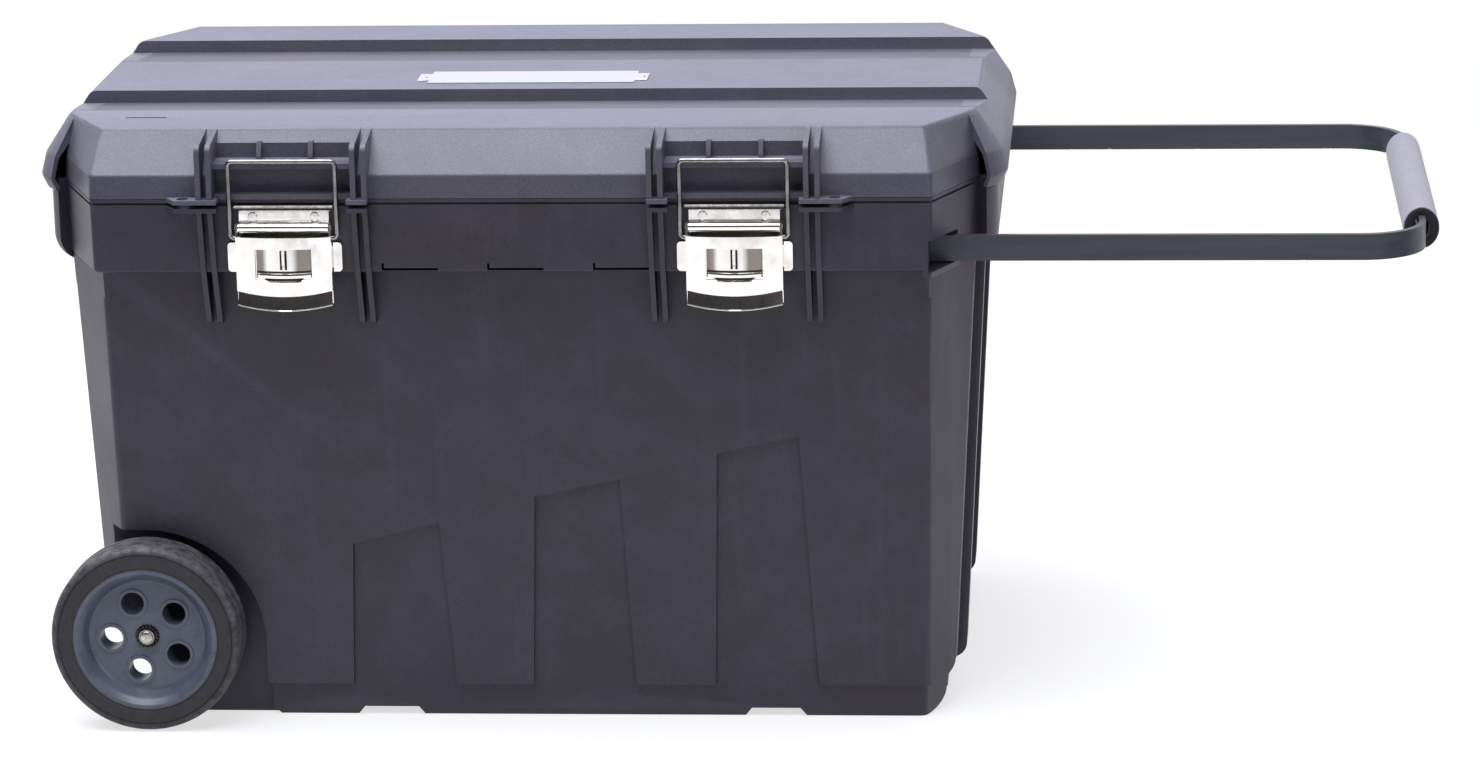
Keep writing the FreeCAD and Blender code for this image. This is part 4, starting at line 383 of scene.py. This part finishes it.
def rubber():
    """Black-grey rubber with a chalky bloom on the tread, scuff specks and fine pitting."""
    material, tree = new_material("solid_rubber")
    place = node(tree, "TexCoord").outputs["Object"]
    bloom = node(tree, "TexNoise", {
        "Vector": place, "Scale": 1000 / BLOOM_MM, "Detail": 6.0, "Roughness": 0.68})
    specks = node(tree, "TexNoise", {
        "Vector": place, "Scale": 1000 / SPECK_MM, "Detail": 3.0, "Roughness": 0.75})
    outward = node(tree, "Mapping", {
        "Vector": place, "Location": (-WHEEL_AXLE.x, 0, -WHEEL_AXLE.z), "Scale": (1, 0, 1)})
    radius = node(tree, "VectorMath", {0: outward}, operation="LENGTH").outputs["Value"]
    tread = node(tree, "MapRange", {"Value": radius, "From Min": CHALK_FROM_R, "From Max": CHALK_FULL_R,
                                    "To Min": 0.12, "To Max": 0.85})
    patchy = node(tree, "MapRange", {"Value": bloom, "From Min": 0.36, "From Max": 0.74})
    chalk = node(tree, "Math", {0: patchy, 1: tread}, operation="MULTIPLY")
    dots = node(tree, "MapRange", {"Value": specks, "From Min": 0.62, "From Max": 0.78, "To Max": 0.5})
    mask = node(tree, "Math", {0: chalk, 1: dots}, operation="ADD", use_clamp=True)
    tone = node(tree, "Mix", {0: mask, 6: linear("#29272b"), 7: linear("#77747c")}, data_type="RGBA")
    bump = node(tree, "Bump", {"Strength": 0.3, "Distance": 0.0004, "Height": specks})
    shader = node(tree, "BsdfPrincipled", {
        "Base Color": tone.outputs[2], "Roughness": 0.62, "IOR": 1.52, "Normal": bump})
    node(tree, "OutputMaterial", {"Surface": shader})
    return material


tyre_rubber = rubber()
for end, side in (("front", -1), ("rear", 1)):
    tyre = turned("tyre_%s_moulded" % end, WHEEL_AXLE, TYRE_PROFILE, side, 144)
    finish(tyre, end + "_wheel", tyre_rubber)
    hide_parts("tyre_" + end)


# ---------------------------------------------------------------- wheels: push-on nuts
# Each axle end carries a pressed spring-steel nut: a dished ring cut into teeth that bite on
# the rod, blued by hardening, and over the rod's end a bright zinc-plated crown.
NUT_TEETH = 18
TEETH_FROM_R, TOOTH_GAP_DEPTH, TOOTH_DROP = 0.0080, 0.0016, 0.0009
NUT_FOOT_Y, NUT_TOP_Y = 0.2383, 0.2446
NUT_RING = (
    (0.0052, NUT_FOOT_Y), (0.0093, NUT_FOOT_Y), (0.0094, NUT_FOOT_Y + 0.0016),
    (0.0086, NUT_FOOT_Y + 0.0026), (0.0066, NUT_FOOT_Y + 0.0022), (0.0052, NUT_FOOT_Y + 0.0012),
)
NUT_CROWN = (
    (0.0054, NUT_FOOT_Y + 0.0004), (0.0056, NUT_FOOT_Y + 0.0036), (0.0052, NUT_TOP_Y - 0.0010),
    (0.0043, NUT_TOP_Y - 0.0003), (0.0020, NUT_TOP_Y), (0.0, NUT_TOP_Y), (0.0, NUT_FOOT_Y + 0.0004),
)
blued_steel = worn_metal("blued_spring_steel", "#4c4a4b", "#2d2c2e", 0.36, 2.4)
crown_steel = worn_metal("zinc_plated_crown", "#dcd8ce", "#8f8b83", 0.34, 1.9)
for end, side in (("front", -1), ("rear", 1)):
    ring = turned("push_nut_" + end, WHEEL_AXLE, NUT_RING, side, 4 * NUT_TEETH)
    for corner in ring.data.vertices:
        out = Vector((corner.co.x - WHEEL_AXLE.x, 0, corner.co.z - WHEEL_AXLE.z))
        gap_here = round(math.atan2(out.z, out.x) / math.tau * 4 * NUT_TEETH) % 4 == 0
        if out.length > TEETH_FROM_R and gap_here:
            corner.co -= out.normalized() * TOOTH_GAP_DEPTH
            corner.co.y -= side * TOOTH_DROP if abs(corner.co.y) > NUT_FOOT_Y + 0.001 else 0
    finish(ring, "chest", blued_steel)
    crown = turned("nut_crown_" + end, WHEEL_AXLE, NUT_CROWN, side, 48)
    finish(crown, "chest", crown_steel)
    if side < 0:
        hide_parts("axle_caps")


# ---------------------------------------------------------------- handle guides and sliders
# Channels and sleeves of black acetal, moulded and left with a slight gloss.
# The channels are screwed to the inner wall of the rim; the sleeves are riveted to the legs.
slider_plastic = satin_plastic("black_acetal", "#1d1d1f", "#2b2b2e", 0.38)
for name in ("handle_guide_front", "handle_guide_rear"):
    eased(name, 0.0006, "chest", slider_plastic)
eased("handle_sliders", 0.0004, "pull_handle", slider_plastic)


# ---------------------------------------------------------------- handle bar
# Flat steel bar, rolled edges, bent to a long U and powder coated in satin charcoal.
# The coat is thin on the edges and chipped to bare steel along the lower edge of the near leg.
BAR_LOW_Z, CHIP_BAND = 0.3691, 0.0024
PEEL_MM, CHIP_MM = 1.5, 10.5           # orange peel of the powder, and chips
SCUFF_MM = (111.0, 16.7, 7.7)          # scuffs run along the leg


def powder_coat():
    material, tree = new_material("powder_coated_steel")
    place = node(tree, "TexCoord").outputs["Object"]
    where = node(tree, "SeparateXYZ", {0: place})
    peel = node(tree, "TexNoise", {"Vector": place, "Scale": 1000 / PEEL_MM, "Detail": 2.0})
    rubbed = node(tree, "Mapping", {"Vector": place, "Scale": [1000 / mm for mm in SCUFF_MM]})
    streak = node(tree, "TexNoise", {"Vector": rubbed, "Scale": 1.0, "Detail": 5.0, "Roughness": 0.65})
    dull = node(tree, "MapRange", {"Value": streak, "From Min": 0.4, "From Max": 0.75, "To Max": 0.6})
    coat = node(tree, "Mix", {0: dull, 6: linear("#3d3f48"), 7: linear("#53565f")}, data_type="RGBA")
    low = node(tree, "MapRange", {"Value": where.outputs["Z"], "From Min": BAR_LOW_Z + CHIP_BAND,
                                  "From Max": BAR_LOW_Z, "To Max": 0.20})
    spots = node(tree, "TexNoise", {
        "Vector": place, "Scale": 1000 / CHIP_MM, "Detail": 4.0, "Roughness": 0.7})
    chance = node(tree, "Math", {0: spots, 1: low}, operation="ADD")
    chip = node(tree, "MapRange", {"Value": chance, "From Min": 0.80, "From Max": 0.83})
    tone = node(tree, "Mix", {0: chip, 6: coat.outputs[2], 7: linear("#b9b7b2")}, data_type="RGBA")
    rough = node(tree, "MapRange", {
        "Value": streak, "From Min": 0.3, "From Max": 0.75, "To Min": 0.30, "To Max": 0.46})
    bump = node(tree, "Bump", {"Strength": 0.15, "Distance": 0.0002, "Height": peel})
    shader = node(tree, "BsdfPrincipled", {
        "Base Color": tone.outputs[2], "Metallic": chip, "Roughness": rough, "IOR": 1.5, "Normal": bump})
    node(tree, "OutputMaterial", {"Surface": shader})
    return material


eased("handle_bar", 0.0009, "pull_handle", powder_coat())


# ---------------------------------------------------------------- handle grip
# A sleeve of closed-cell foam rubber, slit along its length and pushed over the cross bar.
# It is matt and slightly lumpy, its cut ends are painted near black as painted shade, and its corners are
# soft.
bpy.ops.object.select_all(action="DESELECT")
grip = bpy.data.objects.new("grip_sleeve", nodes["handle_grip"].data.copy())
bpy.context.scene.collection.objects.link(grip)
grip.select_set(True)
bpy.context.view_layer.objects.active = grip
bpy.ops.object.mode_set(mode="EDIT")
bpy.ops.mesh.select_all(action="SELECT")
bpy.ops.mesh.remove_doubles(threshold=0.000005)
bpy.ops.mesh.customdata_custom_splitnormals_clear()
bpy.ops.object.mode_set(mode="OBJECT")
FOAM_VOXEL = 0.0013
cells = grip.modifiers.new("foam", "REMESH")
cells.mode = "VOXEL"
cells.voxel_size = FOAM_VOXEL
bpy.ops.object.modifier_apply(modifier="foam")
soft = grip.modifiers.new("soft", "SMOOTH")
soft.factor = 0.5
soft.iterations = 4
bpy.ops.object.modifier_apply(modifier="soft")
FOAM_DARK, FOAM_PALE, FOAM_END_SHADE = "#86838f", "#9d9aa6", "#242226"
FOAM_PORE_MM, FOAM_CLOUD_MM = 1.6, 22.2
GRIP_END_Y = 0.1425
grip_foam, tree = new_material("closed_cell_foam_rubber")
place = node(tree, "TexCoord").outputs["Object"]
pores = node(tree, "TexVoronoi", {"Vector": place, "Scale": 1000 / FOAM_PORE_MM})
cloud = node(tree, "TexNoise", {
    "Vector": place, "Scale": 1000 / FOAM_CLOUD_MM, "Detail": 5.0, "Roughness": 0.6})
tone = node(tree, "Mix", {0: cloud, 6: linear(FOAM_DARK), 7: linear(FOAM_PALE)}, data_type="RGBA")
across = node(tree, "SeparateXYZ", {0: place})
from_middle = node(tree, "Math", {0: across.outputs["Y"]}, operation="ABSOLUTE")
# The end faces are painted near black: painted shade.
end_face_shade = node(tree, "MapRange", {
    "Value": from_middle, "From Min": GRIP_END_Y, "From Max": GRIP_END_Y + 0.001})
tone_with_shaded_ends = node(tree, "Mix", {0: end_face_shade, 6: tone.outputs[2], 7: linear(FOAM_END_SHADE)}, data_type="RGBA")
height = node(tree, "Math", {0: pores, 1: cloud}, operation="ADD")
bump = node(tree, "Bump", {"Strength": 0.4, "Distance": 0.0005, "Height": height})
shader = node(tree, "BsdfPrincipled", {
    "Base Color": tone_with_shaded_ends.outputs[2], "Roughness": 0.82, "IOR": 1.4,
    "Sheen Weight": 0.25, "Sheen Roughness": 0.5, "Normal": bump})
node(tree, "OutputMaterial", {"Surface": shader})
finish(grip, "pull_handle", grip_foam)
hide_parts("handle_grip")


# ---------------------------------------------------------------- lid
# The lid is moulded from the same structural foam as the tub. Its colour is painted lighter than
# the tub's, as painted light from above. Dust and painted sheen lie on its top and not on the ribs;
# the long grooves and a band under the arrises are left dark, as painted shade.
LID_TOP_Z, GROOVE_LOW_Z = 0.4766, 0.4666
GROOVES_WITHIN = (0.342, 0.149)     # half length and half depth of the field that the grooves lie in
SLOPE_AT, SLOPE_FACES = (0, -0.2434, 0.4447), (0, -0.758, 0.652)
RIB_PROUD, FADE = 0.0012, 0.001


def where_dust_and_sheen_stay(tree, place):
    """1 where dust and painted sheen lie on the lid; 0 in the grooves and along a band under the top's
    arris, as painted shade, and little on the ribs of the front slope.
    """
    where = node(tree, "SeparateXYZ", {0: place})
    # Below the top the dust and sheen fall away, so the grooves stay dark: painted shade. A thin line at
    # each groove's foot keeps some dust.
    kept = node(tree, "MapRange", {"Value": where.outputs["Z"], "From Min": LID_TOP_Z - 0.0009,
                                   "From Max": LID_TOP_Z - 0.0004})
    corner = node(tree, "MapRange", {"Value": where.outputs["Z"], "From Min": GROOVE_LOW_Z + 0.0008,
                                     "From Max": GROOVE_LOW_Z + 0.0003, "To Max": 0.55})
    kept = node(tree, "Math", {0: kept, 1: corner}, operation="MAXIMUM")
    for axis, limit in zip("XY", GROOVES_WITHIN):
        from_middle = node(tree, "Math", {0: where.outputs[axis]}, operation="ABSOLUTE")
        beyond = node(tree, "MapRange", {
            "Value": from_middle, "From Min": limit, "From Max": limit + FADE})
        kept = node(tree, "Math", {0: kept, 1: beyond}, operation="MAXIMUM")
    # A thin band just below the top's arris loses the dust and sheen: a painted shade line.
    arris = node(tree, "Math", {
        0: where.outputs["Z"], 1: LID_TOP_Z - 0.0013, 2: 0.0007}, operation="COMPARE")
    kept = node(tree, "Math", {0: kept, 1: arris}, operation="SUBTRACT", use_clamp=True)
    away = node(tree, "VectorMath", {0: place, 1: SLOPE_AT}, operation="SUBTRACT")
    proud = node(tree, "VectorMath", {0: away, 1: SLOPE_FACES}, operation="DOT_PRODUCT").outputs["Value"]
    flush = node(tree, "MapRange", {"Value": proud, "From Min": RIB_PROUD, "From Max": RIB_PROUD + FADE,
                                    "To Min": 1.0, "To Max": 0.12})
    return node(tree, "Math", {0: kept, 1: flush}, operation="MULTIPLY")


# The tub's plastic painted lighter, as painted light from the lamp overhead, with heavy dust and painted
# sheen on faces that look up.
lid_plastic_painted_lighter = moulded_plastic(
    "structural_foam_painted_lighter", "#525161", "#57545f", "#717080", 0.20, 0.88, where_dust_and_sheen_stay)
eased("lid", MOULD_ARRIS, "lid_body", lid_plastic_painted_lighter)


# ---------------------------------------------------------------- name plate
# A stamped aluminium plate with a raised border, bare, held by two drive pins in its tabs.
# The blank is rolled, so a fine grain runs along it, and its surface is satin.
plate_metal = worn_metal("rolled_aluminium", "#f4f5fa", "#dcdfe6", 0.36, 2.0, (0.05, 1.0, 1.0))
eased("name_plate", 0.0003, "lid_body", plate_metal)
eased("name_plate_pins", 0.0003, "lid_body", plate_metal)


# ---------------------------------------------------------------- latches
# Draw latches pressed from 1.5 mm steel and bright nickel plated: a riveted base with ears and
# a hinge barrel, a cover with a window and a rolled sill, a pierced tongue, and a bent wire.
# Nickel is warm and nearly a mirror, a little clouded by handling.
PRESS_ARRIS = 0.0003
SMEAR_MM, ROLLED_MM = 14.3, 6.25       # finger smears, and the slow waves of rolled sheet


def nickel(name, light, dark, roughness):
    material, tree = new_material(name)
    place = node(tree, "TexCoord").outputs["Object"]
    smear = node(tree, "TexNoise", {
        "Vector": place, "Scale": 1000 / SMEAR_MM, "Detail": 4.0, "Roughness": 0.6})
    mask = node(tree, "MapRange", {"Value": smear, "From Min": 0.35, "From Max": 0.75})
    tone = node(tree, "Mix", {0: mask, 6: linear(light), 7: linear(dark)}, data_type="RGBA")
    rough = node(tree, "MapRange", {"Value": smear, "From Min": 0.3, "From Max": 0.7,
                                    "To Min": roughness, "To Max": roughness + 0.10})
    waves = node(tree, "TexNoise", {"Vector": place, "Scale": 1000 / ROLLED_MM, "Detail": 2.0})
    bump = node(tree, "Bump", {"Strength": 0.05, "Distance": 0.0003, "Height": waves})
    shader = node(tree, "BsdfPrincipled", {
        "Base Color": tone.outputs[2], "Metallic": 1.0, "Roughness": rough, "Normal": bump})
    node(tree, "OutputMaterial", {"Surface": shader})
    return material


latch_nickel = nickel("bright_nickel_plate", "#fcf9f4", "#f5f0e7", 0.07)
wire_nickel = nickel("nickel_plated_wire", "#9c9a9b", "#76736f", 0.20)
for end in ("left", "right"):
    eased("latch_base_" + end, PRESS_ARRIS, "chest", latch_nickel)
    eased("latch_lever_" + end, PRESS_ARRIS, end + "_lever", latch_nickel)
    eased("latch_bail_" + end, 0.0001, end + "_bail", wire_nickel, 60)
eased("padlock_staples", PRESS_ARRIS, "chest", latch_nickel)
eased("latch_rivets", 0.0005, "chest", latch_nickel)
nodes["latch_hinge_pins"].data.materials[0] = wire_nickel


# ---------------------------------------------------------------- latches: pressed faces
# The cover's skirt is pressed to a shallow arc and ends in a flared lip with a rolled bead. In
# its window sits a rounder pan, pierced by a slot with the spring's blade, over a raised sill.
LATCH_X = 0.173
COVER_ARC, PAN_ARC = 0.173, 0.0561           # radii that the cover and the pan are pressed to
COVER_HALF, WINDOW_HALF, SLOT_HALF = 0.0366, 0.0213, 0.0027
COVER_FACE_Y, PAN_FACE_Y = -0.2586, -0.2564  # at the latch's middle
WINDOW_Z = (0.3646, 0.3897)
SLOT_Z = (0.3738, 0.3888)
SILL_Z = (0.3664, 0.3714)
LIP_TOP_Z, LIP_LOW_Z = 0.3570, 0.3458
LIP_SAG, HEM_SAG = 0.0040, 0.0030            # how far the edges hang lower at the middle


def pressed(name, half, arc, rows, steps, gauge=0.0, closed=False, pierced=False):
    """A profile of height, distance out and sag, spun to an arc across the left latch."""
    piece = drawn(name, [Vector((-LATCH_X, y, z)) for z, y, sag in rows], closed)
    middle = Vector((-LATCH_X, rows[0][1] + arc, 0))
    reach = math.asin(half / arc)
    about = Matrix.Translation(middle) @ Matrix.Rotation(reach, 4, "Z") @ Matrix.Translation(-middle)
    bpy.ops.object.mode_set(mode="OBJECT")
    piece.data.transform(about)
    bpy.ops.object.mode_set(mode="EDIT")
    bpy.ops.mesh.select_all(action="SELECT")
    bpy.ops.mesh.spin(steps=steps, angle=2 * reach, center=middle, axis=(0, 0, 1))
    if closed:
        bpy.ops.mesh.select_all(action="DESELECT")
        bpy.ops.mesh.select_non_manifold()
        bpy.ops.mesh.edge_face_add()
    bpy.ops.object.mode_set(mode="OBJECT")
    for corner in piece.data.vertices:
        sag = min(rows, key=lambda row: abs(row[0] - corner.co.z))[2]
        corner.co.z -= sag * (1 - ((corner.co.x + LATCH_X) / half) ** 2)
    if pierced:
        bpy.ops.object.mode_set(mode="EDIT")
        bpy.ops.mesh.select_all(action="DESELECT")
        bpy.ops.object.mode_set(mode="OBJECT")
        for face in piece.data.polygons:
            beside = abs(face.center.x + LATCH_X) < SLOT_HALF
            face.select = beside and SLOT_Z[0] < face.center.z < SLOT_Z[1]
        bpy.ops.object.mode_set(mode="EDIT")
        bpy.ops.mesh.delete(type="FACE")
        bpy.ops.object.mode_set(mode="OBJECT")
    bpy.ops.object.mode_set(mode="EDIT")
    bpy.ops.mesh.select_all(action="SELECT")
    bpy.ops.mesh.normals_make_consistent(inside=False)
    bpy.ops.object.mode_set(mode="OBJECT")
    if gauge:
        sheet = piece.modifiers.new("gauge", "SOLIDIFY")
        sheet.thickness = gauge
        sheet.offset = 0
        bpy.ops.object.modifier_apply(modifier="gauge")
    return piece


def both_latches(piece, body, material):
    """Finish the left latch's piece, and a copy of it on the right latch."""
    twin = bpy.data.objects.new(piece.name + "_right", piece.data.copy())
    bpy.context.scene.collection.objects.link(twin)
    twin.data.transform(Matrix.Translation((2 * LATCH_X, 0, 0)))
    sides = ("left_lever", "right_lever") if body == "lever" else (body, body)
    finish(piece, sides[0], material)
    finish(twin, sides[1], material)


# Where the painted shade on each flank of the pan begins and where it is full.
RIGHT_FLANK_SHADE, LEFT_FLANK_SHADE = (0.0062, 0.0110), (-0.0125, -0.0165)   # where each begins and is full


def pan_nickel_painted_shade():
    """Nickel with painted shade on its flanks, which look taupe where the pan turns from the light."""
    material, tree = new_material("nickel_plate_with_painted_flank_shade")
    where = node(tree, "SeparateXYZ", {0: node(tree, "TexCoord").outputs["Object"]})
    end = node(tree, "Math", {0: where.outputs["X"]}, operation="SIGN")
    centre = node(tree, "Math", {0: end, 1: LATCH_X}, operation="MULTIPLY")
    off = node(tree, "Math", {0: where.outputs["X"], 1: centre}, operation="SUBTRACT")
    right = node(tree, "MapRange", {"Value": off, "From Min": RIGHT_FLANK_SHADE[0], "From Max": RIGHT_FLANK_SHADE[1]})
    left = node(tree, "MapRange", {"Value": off, "From Min": LEFT_FLANK_SHADE[0], "From Max": LEFT_FLANK_SHADE[1]})
    flank_shade = node(tree, "Math", {0: right, 1: left}, operation="ADD", use_clamp=True)
    tone = node(tree, "Mix", {0: flank_shade, 6: linear("#fbf8f2"), 7: linear("#8f867f")}, data_type="RGBA")
    shader = node(tree, "BsdfPrincipled", {
        "Base Color": tone.outputs[2], "Metallic": 1.0, "Roughness": 0.16})
    node(tree, "OutputMaterial", {"Surface": shader})
    return material


# The pan and what shows in its window, from the back to the front.
# A dark nickel used as painted shadow: behind the slot and in the outline round the sill.
shaded_nickel = worn_metal("nickel_plate_in_shade", "#45413f", "#2e2b2b", 0.34, 6.25)
pan_heights = (WINDOW_Z[0], SLOT_Z[0], SLOT_Z[1], WINDOW_Z[1])
pan = pressed("window_pan", WINDOW_HALF, PAN_ARC, [(z, PAN_FACE_Y, 0) for z in pan_heights], 16,
              0.0005, pierced=True)
both_latches(pan, "lever", pan_nickel_painted_shade())

# A dark sheet behind the slot stands for the shade inside it: painted shadow.
SLOT_LAP = 0.0006
slot_painted_shadow = pressed("slot_painted_shadow", SLOT_HALF + 0.0013, PAN_ARC, [
    (SLOT_Z[0] - SLOT_LAP, PAN_FACE_Y + 0.0012, 0),
    (SLOT_Z[1] + SLOT_LAP, PAN_FACE_Y + 0.0012, 0)], 4, 0.0004)
both_latches(slot_painted_shadow, "lever", shaded_nickel)
BLADE_HALF = 0.0009
blade = pressed("spring_blade", BLADE_HALF, PAN_ARC, [
    (SLOT_Z[0], PAN_FACE_Y, 0), (SLOT_Z[1], PAN_FACE_Y, 0)], 2, 0.0008)
both_latches(blade, "lever", latch_nickel)

# A dark outline round the sill stands for the shadow gap there: painted shadow.
sill_shadow_sheet = pressed("sill_painted_shadow", WINDOW_HALF - 0.0001, PAN_ARC, [
    (SILL_Z[0] - 0.0015, PAN_FACE_Y - 0.0005, 0),
    (SILL_Z[1] + 0.0011, PAN_FACE_Y - 0.0005, 0)], 16, 0.0003)
both_latches(sill_shadow_sheet, "lever", shaded_nickel)
SILL_CROWN, SILL_ROUND = 0.0014, 0.0008
sill = pressed("raised_sill", WINDOW_HALF - 0.0012, PAN_ARC, [
    (SILL_Z[0], PAN_FACE_Y, 0),
    (SILL_Z[0] + SILL_ROUND, PAN_FACE_Y - SILL_CROWN * 0.8, 0),
    (sum(SILL_Z) / 2, PAN_FACE_Y - SILL_CROWN, 0),
    (SILL_Z[1] - SILL_ROUND, PAN_FACE_Y - SILL_CROWN * 0.8, 0),
    (SILL_Z[1], PAN_FACE_Y, 0)], 16, closed=True)
both_latches(sill, "lever", latch_nickel)

# The cover's lower edge.
hem = pressed("cover_hem", COVER_HALF, COVER_ARC, [
    (LIP_TOP_Z + 0.0010, COVER_FACE_Y + 0.0008, 0),
    (LIP_TOP_Z - 0.0002, COVER_FACE_Y + 0.0008, HEM_SAG)], 24, 0.0012)
both_latches(hem, "lever", latch_nickel)
lip = pressed("flared_lip", COVER_HALF - 0.0004, COVER_ARC, [
    (LIP_TOP_Z, COVER_FACE_Y + 0.0027, 0), (LIP_TOP_Z - 0.0055, COVER_FACE_Y + 0.0020, LIP_SAG * 0.5),
    (LIP_LOW_Z, COVER_FACE_Y + 0.0007, LIP_SAG)], 24, 0.0006)
# The lip's nickel is painted dark, as a painted reflection of the dim room in front.
lip_nickel_painted_dark = worn_metal("nickel_plate_with_painted_dark_reflection", "#86807d", "#5f5a59", 0.30, 8.3)
both_latches(lip, "lever", lip_nickel_painted_dark)
BEAD = 0.0006             # radius of the rolled bead, drawn with eight sides
bead = pressed("lip_bead", COVER_HALF, COVER_ARC, [
    (LIP_LOW_Z + BEAD * math.sin(turn), COVER_FACE_Y + BEAD * (1 - math.cos(turn)), LIP_SAG)
    for turn in (0.0, 0.79, 1.57, 2.36, 3.14, 3.93, 4.71, 5.50)], 24, closed=True)
both_latches(bead, "lever", latch_nickel)

# The roll that stiffens the top edge of each base.
HEAD_HALF, HEAD_Y, HEAD_Z = 0.038, (-0.2494, -0.2470), (0.4182, 0.4226)
head = pressed("base_head_roll", HEAD_HALF, 4.0, [
    (HEAD_Z[0], HEAD_Y[1], 0), (HEAD_Z[0], HEAD_Y[0] + 0.0006, 0), (HEAD_Z[0] + 0.0007, HEAD_Y[0], 0),
    (HEAD_Z[1] - 0.0026, HEAD_Y[0] + 0.0003, 0), (HEAD_Z[1] - 0.0006, HEAD_Y[0] + 0.0013, 0),
    (HEAD_Z[1], HEAD_Y[1], 0)], 4, closed=True)
# The roll's nickel is painted dark, as a painted dark reflection.
roll_nickel_painted_dark = worn_metal("rolled_head_nickel_with_painted_dark_reflection", "#77736f", "#4c4948", 0.26, 7.1)
both_latches(head, "chest", roll_nickel_painted_dark)

bpy.context.view_layer.update()
